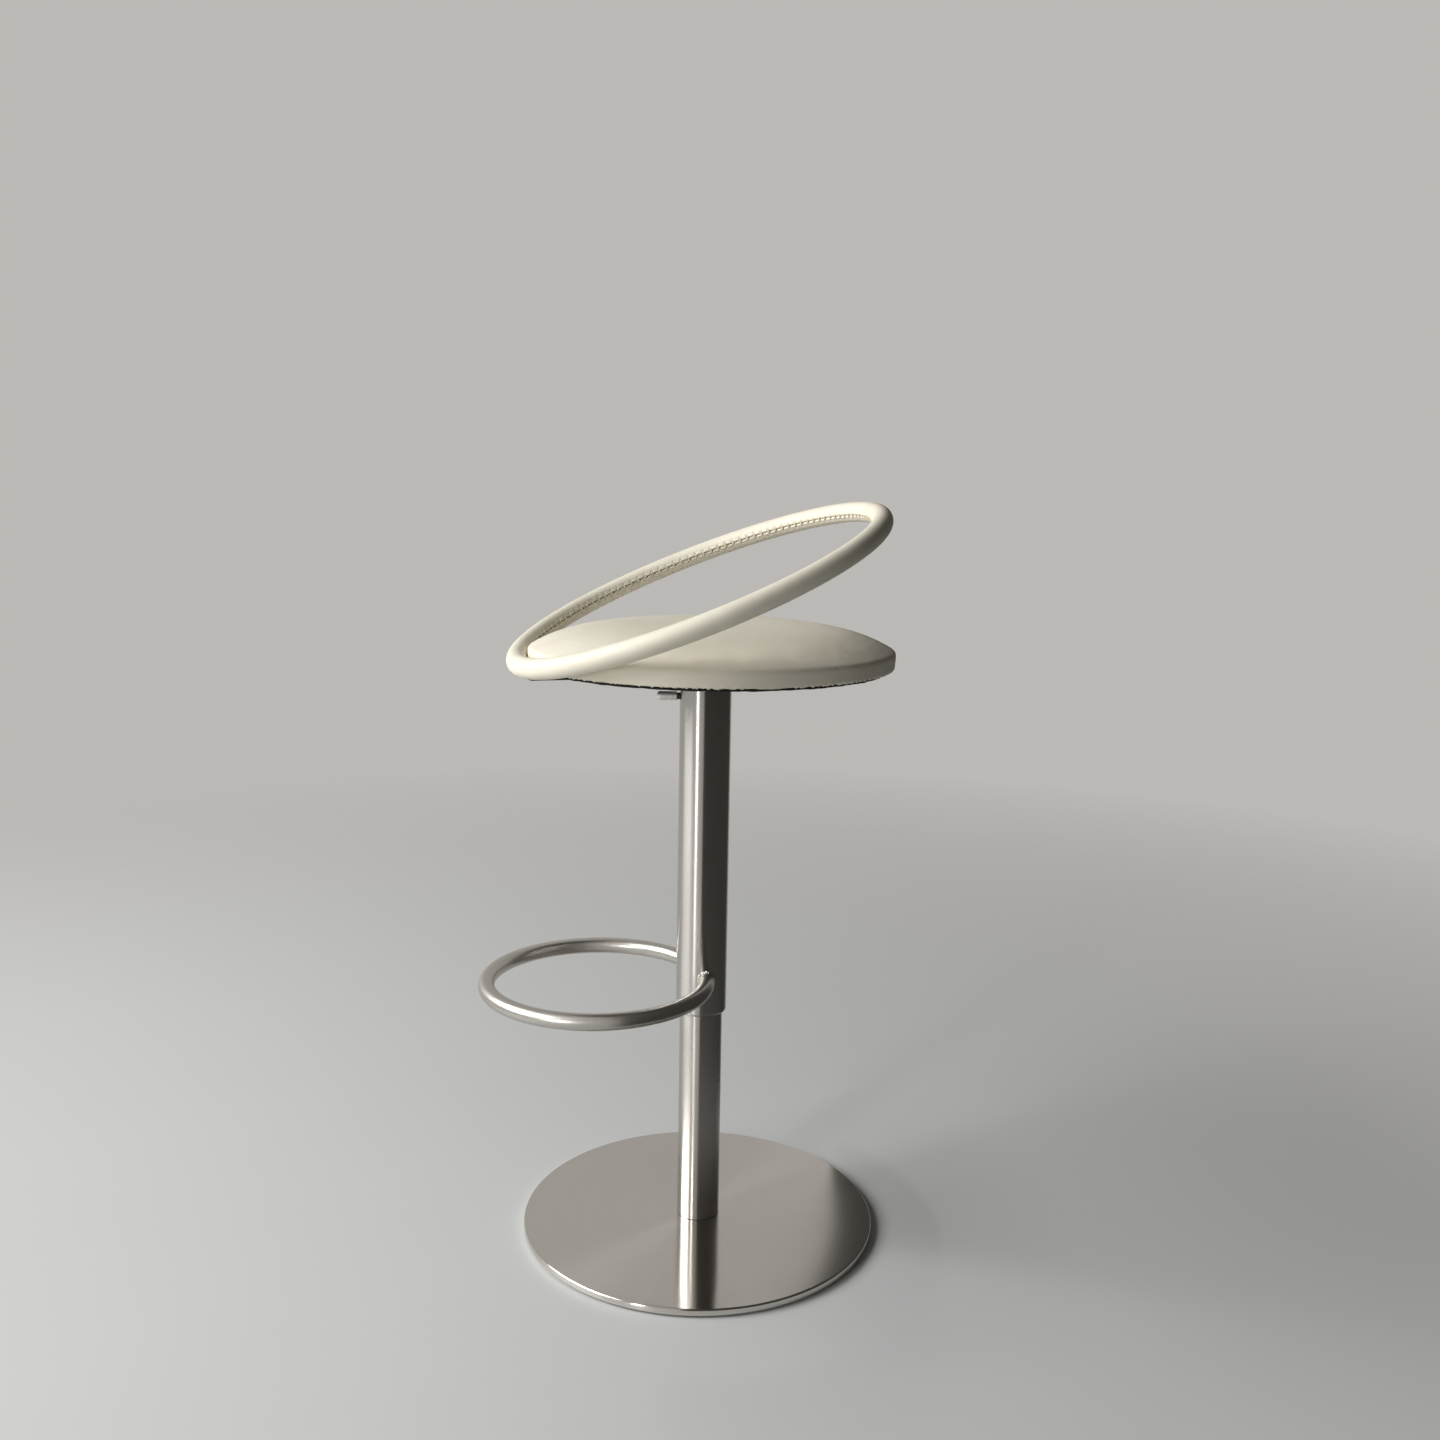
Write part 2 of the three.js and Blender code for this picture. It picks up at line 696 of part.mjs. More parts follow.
function roundedSquare(side, corner) {
  const half = side / 2 - corner;
  const shape = new THREE.Shape();
  shape.setFromPoints([
    ...arc(half, -half, corner, -90, 0, cornerSteps),
    ...arc(half, half, corner, 0, 90, cornerSteps),
    ...arc(-half, half, corner, 90, 180, cornerSteps),
    ...arc(-half, -half, corner, 180, 270, cornerSteps),
  ]);
  return shape;
}

function addSeatPlate() {
  const flat = new THREE.ExtrudeGeometry(
    roundedSquare(seatPlateSide, seatPlateCorner), { depth: seatPlateThickness, bevelEnabled: false });
  flat.translate(0, 0, seatPlateBottom);
  const hole = rod(plateBoltRadius + restGap, seatPlateBottom - cutOverrun, seatPlateTop + cutOverrun);
  add('seat_plate', cut(flat, ...plateBoltPlaces().map(([x, y]) => moved(hole, x, y))), blackSteel);

  const headTop = seatPlateBottom - restGap;
  const headBottom = headTop - plateBoltHeadHeight;
  const bolt = joined(
    rod(plateBoltHeadRadius, headBottom, headTop, hexSides),
    rod(plateBoltRadius, headBottom, boardTop - restGap));
  const nutTop = boardTop - restGap;
  const nutProfile = [
    point(plateBoltRadius + restGap, nutTop - teeNutLength),
    point(teeNutRadius, nutTop - teeNutLength),
    point(teeNutRadius, nutTop - teeNutFlangeHeight),
    point(teeNutFlangeRadius, nutTop - teeNutFlangeHeight),
    point(teeNutFlangeRadius, nutTop),
    point(plateBoltRadius + restGap, nutTop),
  ];
  plateBoltPlaces().forEach(([x, y], i) => {
    add(`plate_bolt_${i + 1}`, bolt.clone(), zinc).position.set(x, y, 0);
    add(`tee_nut_${i + 1}`, turned([...nutProfile, nutProfile[0]], smallSteps), zinc).position.set(x, y, 0);
  });
}

// Points of the crown from the side in to the axis, drawn in by an inset all over
function crown(inset) {
  const points = [];
  for (let i = 0; i <= crownSteps; i += 1) {
    const angle = Math.PI / 2 * i / crownSteps;
    const across = i === crownSteps ? 0 : Math.pow(Math.cos(angle), 2 / crownSpanShare);
    const up = Math.pow(Math.sin(angle), 2 / crownRiseShare);
    points.push(point((seatRadius - inset) * across, seatWidest + (crownHeight - inset) * up));
  }
  return points;
}

// Points of the drawn-in side from its foot up to the widest place
function side(inset) {
  const points = [];
  const foot = hemBottom + inset;
  for (let i = 0; i < tuckSteps; i += 1) {
    const angle = Math.PI / 2 * i / tuckSteps;
    const across = seatRadius - inset - sideTuck * (1 - Math.sin(angle));
    points.push(point(across, seatWidest - (seatWidest - foot) * Math.cos(angle)));
  }
  return points;
}

function addSeat() {
  const hemInner = seatRadius - sideTuck - leatherHem;
  const cover = turned([
    ...crown(leatherThickness).reverse(),
    ...side(leatherThickness).reverse(),
    point(hemInner, hemBottom + leatherThickness),
    point(hemInner, hemBottom),
    ...side(0),
    ...crown(0),
  ], seatSteps);
  add('seat_cover', cover, cream).position.y = seatSetback;

  const foamInset = leatherThickness + restGap;
  const cushion = turned([
    point(0, hemBottom + foamInset),
    ...side(foamInset),
    ...crown(foamInset),
  ], seatSteps);
  const boardSpace = rod(seatRadius, hemBottom, foamBottom, seatSteps);
  add('seat_foam', cut(cushion, boardSpace), foam).position.y = seatSetback;

  const boltWay = rod(teeNutRadius + restGap, boardBottom - cutOverrun, boardTop + cutOverrun);
  const flangeWay = rod(
    teeNutFlangeRadius + restGap, boardTop - teeNutFlangeHeight - 2 * restGap, boardTop + cutOverrun);
  const screwWay = rod(
    bracketScrewRadius + restGap, seatUnderside - cutOverrun, bracketScrewTop + restGap);
  const screwCuts = bracketScrewPlaces().map(([x, y]) => moved(screwWay, x, y));
  const board = moved(rod(boardRadius, boardBottom, boardTop, seatSteps), 0, seatSetback);
  const boardCuts = plateBoltPlaces().flatMap(([x, y]) => [moved(boltWay, x, y), moved(flangeWay, x, y)]);
  add('seat_board', cut(board, ...boardCuts, ...screwCuts), plywood);

  const dustTop = seatUnderside + dustCoverThickness;
  const dust = moved(rod(boardRadius - dustCoverInset, seatUnderside, dustTop, seatSteps), 0, seatSetback);
  const boltHole = rod(plateBoltRadius + restGap, seatUnderside - cutOverrun, dustTop + cutOverrun);
  const dustCuts = plateBoltPlaces().map(([x, y]) => moved(boltHole, x, y));
  add('dust_cover', cut(dust, ...dustCuts, ...screwCuts), blackPlastic);
}

// From the ring's own plane to the stool
function placeRing(geometry) {
  return geometry.clone().rotateX(radians(ringTilt)).translate(0, -ringForward, ringHeight);
}

// A flat strip from the tube's centre line back towards the seat plate, with a play all round
function bracketStrip(play) {
  const half = ringBracketWidth / 2 + play;
  const bottom = ringBracketBottom - play;
  const top = ringBracketTop + play;
  const strip = block(-half, half, -ringFront, -ringBracketEnd, bottom, top);
  const withinRing = moved(
    rod(ringRadius, bottom, top, ringSteps).scale(1, Math.cos(radians(ringTilt)), 1), 0, -ringForward);
  return geometryOf(solidOf(strip).intersect(solidOf(withinRing)));
}

function addBackRing() {
  // A steel tube bent round and welded, with a vent hole that faces down at the front
  const vent = rod(ventRadius, -ringTubeRadius - cutOverrun, 0, ballSteps).translate(0, -ringRadius, 0);
  const bore = hoop(ringRadius, ringTubeRadius - ringTubeWall, boreSteps);
  add('ring_tube', placeRing(cut(hoop(ringRadius, ringTubeRadius, sleeveSteps), bore, vent)), zinc);

  // The leather sleeve is open along the seam, on the side that faces the ring's centre
  const inner = (ringTubeRadius + restGap) / Math.cos(Math.PI / sleeveSteps);
  const seamAngle = THREE.MathUtils.radToDeg(ringSeam / 2 / inner);
  const section = [
    ...arc(ringRadius, 0, ringCoverRadius, 180 + seamAngle, 540 - seamAngle, sectionSteps),
    ...arc(ringRadius, 0, inner, 540 - seamAngle, 180 + seamAngle, sleeveSteps),
  ];
  const coverRing = placeRing(turned([...section, section[0]], ringSteps));
  add('ring_cover', cut(coverRing, bracketStrip(ringBracketPlay)), cream);

  const hole = rod(bracketScrewRadius + restGap, ringBracketBottom - cutOverrun, ringBracketTop + cutOverrun);
  const holes = bracketScrewPlaces().map(([x, y]) => moved(hole, x, y));
  const seatOnTube = placeRing(hoop(ringRadius, ringTubeRadius + restGap, sleeveSteps));
  add('ring_bracket', cut(bracketStrip(0), seatOnTube, ...holes), blackSteel);

  const headTop = ringBracketBottom - restGap;
  const headBottom = headTop - bracketScrewHeadHeight;
  const screw = [
    point(0, headBottom),
    point(bracketScrewHeadRadius, headBottom),
    point(bracketScrewHeadRadius, headTop),
    point(bracketScrewRadius, headTop),
    point(bracketScrewRadius, bracketScrewTop),
    point(0, bracketScrewTop),
  ];
  bracketScrewPlaces().forEach(([x, y], i) => {
    add(`bracket_screw_${i + 1}`, turned(screw, smallSteps), zinc).position.set(x, y, 0);
  });
}

addBase();
addLowerTube();
addBearing();
addRod();
addCylinder();
addUpperTube();
addFootrest();
addLever();
addSeatPlate();
addSeat();
addBackRing();

export default stool;
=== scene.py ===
import json
import math
import random

import bpy
from mathutils import Matrix, Vector
from mathutils.kdtree import KDTree


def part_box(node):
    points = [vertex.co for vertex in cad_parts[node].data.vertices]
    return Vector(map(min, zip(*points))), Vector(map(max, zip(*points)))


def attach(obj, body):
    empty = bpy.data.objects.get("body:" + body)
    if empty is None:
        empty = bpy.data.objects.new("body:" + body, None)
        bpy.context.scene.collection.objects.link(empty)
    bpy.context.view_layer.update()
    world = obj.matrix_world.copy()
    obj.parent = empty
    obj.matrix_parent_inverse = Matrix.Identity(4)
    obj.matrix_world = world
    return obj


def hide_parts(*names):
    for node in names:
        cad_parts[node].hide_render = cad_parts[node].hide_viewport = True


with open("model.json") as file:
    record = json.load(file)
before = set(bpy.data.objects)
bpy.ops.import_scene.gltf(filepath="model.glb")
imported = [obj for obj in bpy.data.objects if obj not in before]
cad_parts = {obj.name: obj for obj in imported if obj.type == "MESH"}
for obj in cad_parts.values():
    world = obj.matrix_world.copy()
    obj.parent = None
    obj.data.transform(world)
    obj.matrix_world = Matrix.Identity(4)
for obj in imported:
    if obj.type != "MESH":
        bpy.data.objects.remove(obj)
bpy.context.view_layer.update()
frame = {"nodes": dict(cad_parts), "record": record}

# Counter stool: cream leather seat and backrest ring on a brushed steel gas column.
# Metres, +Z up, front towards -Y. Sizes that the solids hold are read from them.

fullTurn = 2 * math.pi
mm = 0.001
joinDistance = 2e-6  # doubles closer than this are merged
smoothAngle = 32  # degrees


# Tools shared by the pieces

def clearSelection():
    if bpy.context.object and bpy.context.object.mode != "OBJECT":
        bpy.ops.object.mode_set(mode="OBJECT")
    bpy.ops.object.select_all(action="DESELECT")


def pick(piece):
    clearSelection()
    piece.select_set(True)
    bpy.context.view_layer.objects.active = piece


def applyPlace(piece):
    pick(piece)
    bpy.ops.object.transform_apply(location=True, rotation=True, scale=True)


def applyModifier(piece, modifier):
    pick(piece)
    bpy.ops.object.modifier_apply(modifier=modifier.name)


def cleanMesh(piece):
    pick(piece)
    bpy.ops.object.mode_set(mode="EDIT")
    bpy.ops.mesh.select_all(action="SELECT")
    bpy.ops.mesh.remove_doubles(threshold=joinDistance)
    bpy.ops.mesh.normals_make_consistent(inside=False)
    bpy.ops.object.mode_set(mode="OBJECT")


def nodeBox(node):
    low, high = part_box(node)
    return low, high, (low + high) / 2


def arcPoints(across, up, radius, fromAngle, toAngle, steps):
    points = []
    for i in range(steps + 1):
        angle = math.radians(fromAngle + (toAngle - fromAngle) * i / steps)
        points.append((across + radius * math.cos(angle), up + radius * math.sin(angle)))
    return points


# A line in edit mode, drawn from a lone point by one extrude after another
def drawLine(name, start, moves):
    clearSelection()
    bpy.ops.mesh.primitive_plane_add(size=mm, location=(0, 0, 0))
    piece = bpy.context.object
    piece.name = name
    bpy.ops.object.mode_set(mode="EDIT")
    bpy.ops.mesh.select_mode(type="VERT")
    bpy.ops.mesh.merge(type="CENTER")
    bpy.ops.transform.translate(value=start)
    for move in moves:
        bpy.ops.mesh.extrude_vertices_move(TRANSFORM_OT_translate={"value": move})
    bpy.ops.mesh.select_all(action="SELECT")
    return piece


# A profile of (radius, height) spun about a vertical axis
def spinProfile(name, points, steps, centre=(0, 0), closed=False):
    if closed:
        points = [*points, points[0]]
    start = (centre[0] + points[0][0], centre[1], points[0][1])
    moves = [(there[0] - here[0], 0, there[1] - here[1]) for here, there in zip(points, points[1:])]
    piece = drawLine(name, start, moves)
    bpy.ops.mesh.spin(steps=steps, angle=fullTurn, center=(*centre, 0), axis=(0, 0, 1))
    bpy.ops.object.mode_set(mode="OBJECT")
    cleanMesh(piece)
    return piece


# A round bar bent about a vertical axis, from one angle to another, in degrees from +X
def bentBar(name, radius, section, steps, sides, fromAngle=0.0, toAngle=360.0):
    clearSelection()
    bpy.ops.mesh.primitive_circle_add(
        vertices=sides, radius=section, location=(radius, 0, 0), rotation=(math.pi / 2, 0, 0))
    piece = bpy.context.object
    piece.name = name
    bpy.ops.object.transform_apply(location=True, rotation=True)
    bpy.ops.object.mode_set(mode="EDIT")
    bpy.ops.mesh.select_all(action="SELECT")
    span = math.radians(toAngle - fromAngle)
    bpy.ops.mesh.spin(steps=steps, angle=-span, center=(0, 0, 0), axis=(0, 0, 1))
    if toAngle - fromAngle < 360.0:
        bpy.ops.mesh.select_all(action="SELECT")
        bpy.ops.mesh.fill_holes(sides=sides)
    bpy.ops.object.mode_set(mode="OBJECT")
    cleanMesh(piece)
    piece.rotation_euler.z = math.radians(fromAngle)
    applyPlace(piece)
    return piece


def addBox(name, size, place, turn=0.0):
    clearSelection()
    bpy.ops.mesh.primitive_cube_add(size=1, location=place)
    box = bpy.context.object
    box.name = name
    box.scale = size
    box.rotation_euler.z = turn
    applyPlace(box)
    return box


def combine(piece, other, operation):
    modifier = piece.modifiers.new("combine", "BOOLEAN")
    modifier.operation = operation
    modifier.solver = "EXACT"
    modifier.object = other
    applyModifier(piece, modifier)
    bpy.data.objects.remove(other)


def cutAway(piece, *cutters):
    for cutter in cutters:
        combine(piece, cutter, "DIFFERENCE")


# Cuts the way of a node's bolt or screw through a sheet
def cutterAt(node, radius, low, high, steps):
    place = nodeBox(node)[2]
    way = [(0, low - mm), (radius, low - mm), (radius, high + mm), (0, high + mm)]
    return spinProfile("way", way, steps, (place.x, place.y))


def bevelEdges(piece, width, segments=2, angle=40):
    modifier = piece.modifiers.new("edges", "BEVEL")
    modifier.width = width
    modifier.segments = segments
    modifier.limit_method = "ANGLE"
    modifier.angle_limit = math.radians(angle)
    applyModifier(piece, modifier)


def copyOf(piece, name, place=(0, 0, 0)):
    pick(piece)
    bpy.ops.object.duplicate(linked=False)
    twin = bpy.context.object
    twin.name = name
    twin.location = place
    applyPlace(twin)
    return twin


def joinPieces(name, pieces):
    clearSelection()
    for piece in pieces:
        piece.select_set(True)
    bpy.context.view_layer.objects.active = pieces[0]
    bpy.ops.object.join()
    pieces[0].name = name
    return pieces[0]


# Unrolls a piece so that U runs across the brushing, which stretches its highlights
def brushMap(piece, centre, along, ring=None):
    layer = piece.data.uv_layers.new(name="brush")
    cx, cy, cz = centre

    def angles(place):
        turn = math.atan2(place.y - cy, place.x - cx)
        out = math.hypot(place.x - cx, place.y - cy)
        if ring is None:
            return turn, out + place.z
        return turn, math.atan2(place.z - cz, out - ring)

    def near(angle, other):
        return angle + fullTurn * round((other - angle) / fullTurn)

    for face in piece.data.polygons:
        faceTurn, faceRoll = angles(face.center)
        for loop in face.loop_indices:
            place = piece.data.vertices[piece.data.loops[loop].vertex_index].co
            turn, roll = angles(place)
            onAxis = math.hypot(place.x - cx, place.y - cy) < joinDistance
            turn = faceTurn if onAxis else near(turn, faceTurn)
            if ring is not None:
                roll = near(roll, faceRoll)
            layer.data[loop].uv = (turn, roll) if along else (roll, turn)


def finishPiece(piece, body, slotName, material, *nodes):
    piece.data.materials.clear()
    piece.data.materials.append(material)
    pick(piece)
    bpy.ops.object.shade_smooth_by_angle(angle=math.radians(smoothAngle))
    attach(piece, body)
    if nodes:
        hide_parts(*nodes)


# Copies a fastener to the four nodes of its kind
def copyToNodes(piece, name, node):
    for number in range(1, 5):
        place = nodeBox(f"{node}_{number}")[2]
        twin = copyOf(piece, f"{name}_{number}", (place.x, place.y, 0))
        finishPiece(twin, "seat_unit", "plated_steel", materials["zinc"], f"{node}_{number}")
    bpy.data.objects.remove(piece)


# Moves a point away from the vertical axis at centreY
def moveOut(place, centreY, push):
    out = max(math.hypot(place.x, place.y - centreY), 1e-6)
    place.x += push * place.x / out
    place.y += push * (place.y - centreY) / out


def meanWave(waves, turn):
    return sum(math.sin(count * turn + phase) for count, phase in waves) / len(waves)


# Effects that several materials use, each a node group

# Takes a vector and the named numbers, and puts out numbers
def newGroup(name, outputs, **numbers):
    group = bpy.data.node_groups.new(name, "ShaderNodeTree")
    group.interface.new_socket("Vector", in_out="INPUT", socket_type="NodeSocketVector")
    for title, value in numbers.items():
        socket = group.interface.new_socket(title, in_out="INPUT", socket_type="NodeSocketFloat")
        socket.default_value = value
    for title in outputs:
        group.interface.new_socket(title, in_out="OUTPUT", socket_type="NodeSocketFloat")
    return group, group.nodes.new("NodeGroupInput"), group.nodes.new("NodeGroupOutput")


def addNode(tree, kind, **settings):
    node = tree.nodes.new(kind)
    for key, value in settings.items():
        setattr(node, key, value)
    return node


def mathNode(tree, operation, first, second=None):
    node = addNode(tree, "ShaderNodeMath", operation=operation)
    for socket, value in zip(node.inputs, (first, second)):
        if value is None:
            continue
        if isinstance(value, (int, float)):
            socket.default_value = value
        else:
            tree.links.new(value, socket)
    return node.outputs[0]


def noiseNode(tree, vector, scale, detail=2.0, roughness=0.5):
    node = addNode(tree, "ShaderNodeTexNoise")
    tree.links.new(vector, node.inputs["Vector"])
    node.inputs["Scale"].default_value = scale
    node.inputs["Detail"].default_value = detail
    node.inputs["Roughness"].default_value = roughness
    return node.outputs["Fac"]


def remap(tree, value, fromLow, fromHigh, toLow=0.0, toHigh=1.0):
    node = addNode(tree, "ShaderNodeMapRange")
    tree.links.new(value, node.inputs["Value"])
    for name, number in (
            ("From Min", fromLow), ("From Max", fromHigh), ("To Min", toLow), ("To Max", toHigh)):
        node.inputs[name].default_value = number
    return node.outputs["Result"]


# Two values added in the given shares
def sharedSum(tree, first, firstShare, second, secondShare):
    return mathNode(tree, "ADD", mathNode(tree, "MULTIPLY", first, firstShare),
                    mathNode(tree, "MULTIPLY", second, secondShare))


# Links the lines of two scales out of a group, and mixes them for the tone
def endLines(group, result, fine, coarse, fineShare):
    group.links.new(fine, result.inputs["Height"])
    group.links.new(coarse, result.inputs["Rough"])
    group.links.new(sharedSum(group, fine, fineShare, coarse, 1 - fineShare), result.inputs["Tone"])
    return group


# Fine pebbles with soft creases between them, and slow changes of tone
def makeLeatherGrain():
    group, given, result = newGroup("leather grain", ("Height", "Tone", "Rough"), Pebble=1.0)
    scaled = addNode(group, "ShaderNodeVectorMath", operation="DIVIDE")
    group.links.new(given.outputs["Vector"], scaled.inputs[0])
    group.links.new(given.outputs["Pebble"], scaled.inputs[1])
    place = scaled.outputs[0]
    warp = addNode(group, "ShaderNodeTexNoise")
    group.links.new(place, warp.inputs["Vector"])
    warp.inputs["Scale"].default_value = 420.0
    shifted = addNode(group, "ShaderNodeVectorMath", operation="MULTIPLY_ADD")
    group.links.new(warp.outputs["Color"], shifted.inputs[0])
    shifted.inputs[1].default_value = (0.0012, 0.0012, 0.0012)
    group.links.new(place, shifted.inputs[2])
    pebbles = addNode(group, "ShaderNodeTexVoronoi", feature="DISTANCE_TO_EDGE")
    group.links.new(shifted.outputs[0], pebbles.inputs["Vector"])
    pebbles.inputs["Scale"].default_value = 850.0
    creases = remap(group, pebbles.outputs["Distance"], 0.0, 0.22)
    pores = noiseNode(group, place, 2600.0, 1.0)
    pull = noiseNode(group, place, 38.0, 3.0)
    height = mathNode(group, "MULTIPLY_ADD", pores, 0.25)
    group.links.new(creases, height.node.inputs[2])
    group.links.new(height, result.inputs["Height"])
    slow = noiseNode(group, place, 11.0, 3.0)
    group.links.new(sharedSum(group, slow, 0.7, pull, 0.3), result.inputs["Tone"])
    group.links.new(remap(group, pull, 0.3, 0.7), result.inputs["Rough"])
    return group


# Brush lines that run round the vertical axis of the given vector
def makeRoundBrush():
    group, given, result = newGroup("brushed round", ("Height", "Tone", "Rough"), Breaks=4.0)
    parts = addNode(group, "ShaderNodeSeparateXYZ")
    group.links.new(given.outputs["Vector"], parts.inputs[0])
    x, y, z = parts.outputs
    out = mathNode(group, "SQRT", mathNode(
        group, "ADD", mathNode(group, "MULTIPLY", x, x), mathNode(group, "MULTIPLY", y, y)))
    heights = []
    breaks = given.outputs["Breaks"]  # how soon a line ends, per metre
    for fine in (2600.0, 900.0):
        lines = addNode(group, "ShaderNodeCombineXYZ")
        group.links.new(mathNode(group, "ADD", mathNode(group, "MULTIPLY", out, fine),
                                 mathNode(group, "MULTIPLY", x, breaks)), lines.inputs[0])
        group.links.new(mathNode(group, "MULTIPLY", y, breaks), lines.inputs[1])
        group.links.new(mathNode(group, "MULTIPLY", z, fine), lines.inputs[2])
        heights.append(noiseNode(group, lines.outputs[0], 1.0, 2.0, 0.6))
    return endLines(group, result, *heights, 0.7)


# Hairlines that run along Z
def makeLongBrush():
    group, given, result = newGroup("brushed along", ("Height", "Tone", "Rough"))
    heights = []
    for fine, slow in ((2400.0, 16.0), (700.0, 5.0)):
        lines = addNode(group, "ShaderNodeMapping")
        group.links.new(given.outputs["Vector"], lines.inputs["Vector"])
        lines.inputs["Scale"].default_value = (fine, fine, slow)
        heights.append(noiseNode(group, lines.outputs[0], 1.0, 2.0, 0.6))
    return endLines(group, result, *heights, 0.4)


# Faint smears and finger marks, 0 on clean metal and up to 1
def makeSmears():
    group, given, result = newGroup("smears", ("Mask",))
    cloud = noiseNode(group, given.outputs["Vector"], 9.0, 4.0, 0.6)
    blots = noiseNode(group, given.outputs["Vector"], 45.0, 3.0, 0.55)
    mask = mathNode(group, "MULTIPLY", remap(group, cloud, 0.45, 0.75),
                    remap(group, blots, 0.4, 0.7, 0.2, 1.0))
    group.links.new(mask, result.inputs["Mask"])
    return group


groups = {
    "leather": makeLeatherGrain(),
    "round": makeRoundBrush(),
    "along": makeLongBrush(),
    "smears": makeSmears(),
}


# Materials

def startMaterial(name):
    material = bpy.data.materials.new(name)
    material.use_nodes = True
    tree = material.node_tree
    place = addNode(tree, "ShaderNodeTexCoord")
    return material, tree, tree.nodes["Principled BSDF"], place.outputs["Object"]


def useGroup(tree, name, vector, **values):
    node = addNode(tree, "ShaderNodeGroup", node_tree=groups[name])
    tree.links.new(vector, node.inputs["Vector"])
    for key, value in values.items():
        node.inputs[key].default_value = value
    return node.outputs


def mixColours(tree, factor, low, high, socket):
    mix = addNode(tree, "ShaderNodeMix", data_type="RGBA")
    tree.links.new(factor, mix.inputs["Factor"])
    mix.inputs["A"].default_value = (*low, 1)
    mix.inputs["B"].default_value = (*high, 1)
    tree.links.new(mix.outputs["Result"], socket)


def bumpFrom(tree, shader, height, distance):
    bump = addNode(tree, "ShaderNodeBump")
    bump.inputs["Distance"].default_value = distance
    bump.inputs["Strength"].default_value = 1.0
    tree.links.new(height, bump.inputs["Height"])
    tree.links.new(bump.outputs[0], shader.inputs["Normal"])


def leatherMaterial(name, light, dark, pebble, depth):
    material, tree, shader, place = startMaterial(name)
    grain = useGroup(tree, "leather", place, Pebble=pebble)
    mixColours(tree, remap(tree, grain["Tone"], 0.35, 0.65), dark, light, shader.inputs["Base Color"])
    tree.links.new(remap(tree, grain["Rough"], 0.0, 1.0, 0.44, 0.56), shader.inputs["Roughness"])
    shader.inputs["Specular IOR Level"].default_value = 0.42
    shader.inputs["Coat Weight"].default_value = 0.06
    shader.inputs["Coat Roughness"].default_value = 0.4
    bumpFrom(tree, shader, grain["Height"], depth)
    return material


def brushedMaterial(name, brush, low, high, rough, smear, anisotropy, depth, unrolled=None, **brushValues):
    material, tree, shader, place = startMaterial(name)
    if unrolled:  # lines that cross a bent bar, laid out by its own map
        unroll = addNode(tree, "ShaderNodeUVMap", uv_map="brush")
        turnBack = addNode(tree, "ShaderNodeMapping")
        tree.links.new(unroll.outputs[0], turnBack.inputs["Vector"])
        turnBack.inputs["Rotation"].default_value = (math.pi / 2, 0, 0)
        turnBack.inputs["Scale"].default_value = (unrolled[0], unrolled[1], 1)
        lines = useGroup(tree, brush, turnBack.outputs[0])
    else:
        lines = useGroup(tree, brush, place, **brushValues)
    smears = useGroup(tree, "smears", place)
    mixColours(tree, remap(tree, lines["Tone"], 0.3, 0.7), low, high, shader.inputs["Base Color"])
    lined = remap(tree, lines["Rough"], 0.3, 0.7, rough[0], rough[1])
    tree.links.new(mathNode(tree, "ADD", lined, mathNode(tree, "MULTIPLY", smears["Mask"], smear)),
                   shader.inputs["Roughness"])
    shader.inputs["Metallic"].default_value = 1.0
    shader.inputs["Anisotropic"].default_value = anisotropy
    tangent = addNode(tree, "ShaderNodeTangent", direction_type="UV_MAP", uv_map="brush")
    tree.links.new(tangent.outputs[0], shader.inputs["Tangent"])
    if depth:
        bumpFrom(tree, shader, lines["Height"], depth)
    return material


# Slow changes of tone under a fine skin
def skinMaterial(name, low, high, rough, scale, depth, metallic):
    material, tree, shader, place = startMaterial(name)
    cloud = noiseNode(tree, place, scale / 12, 3.0 + metallic)
    mixColours(tree, remap(tree, cloud, 0.35, 0.65), low, high, shader.inputs["Base Color"])
    skin = noiseNode(tree, place, scale, 3.0)
    tree.links.new(remap(tree, skin, 0.3, 0.7, *rough), shader.inputs["Roughness"])
    shader.inputs["Metallic"].default_value = metallic
    bumpFrom(tree, shader, skin, depth)
    return material


def metalMaterial(name, low, high, rough, blotch, depth=0.00003):
    return skinMaterial(name, low, high, rough, blotch * 12, depth, 1.0)


def mouldedMaterial(name, low, high, rough, scale=500.0, depth=0.00005):
    return skinMaterial(name, low, high, rough, scale, depth, 0.0)


# Pressed felt of fine fibres, for the cover under the seat; its colour follows the height, darker in the
# dimples as painted shade
def feltMaterial(name, low, high):
    material, tree, shader, place = startMaterial(name)
    fibres = addNode(tree, "ShaderNodeTexVoronoi", feature="F1")
    tree.links.new(place, fibres.inputs["Vector"])
    fibres.inputs["Scale"].default_value = 700.0
    dimples = addNode(tree, "ShaderNodeTexVoronoi", feature="F1")
    tree.links.new(place, dimples.inputs["Vector"])
    dimples.inputs["Scale"].default_value = 420.0
    dimples.inputs["Randomness"].default_value = 0.1
    height = mathNode(tree, "ADD", mathNode(tree, "MULTIPLY", fibres.outputs["Distance"], 0.4),
                      remap(tree, dimples.outputs["Distance"], 0.1, 0.5))
    # fibre tone, and painted shade in the dimples where the height is low
    mixColours(tree, height, low, high, shader.inputs["Base Color"])
    shader.inputs["Roughness"].default_value = 0.92
    bumpFrom(tree, shader, height, 0.0002)
    return material


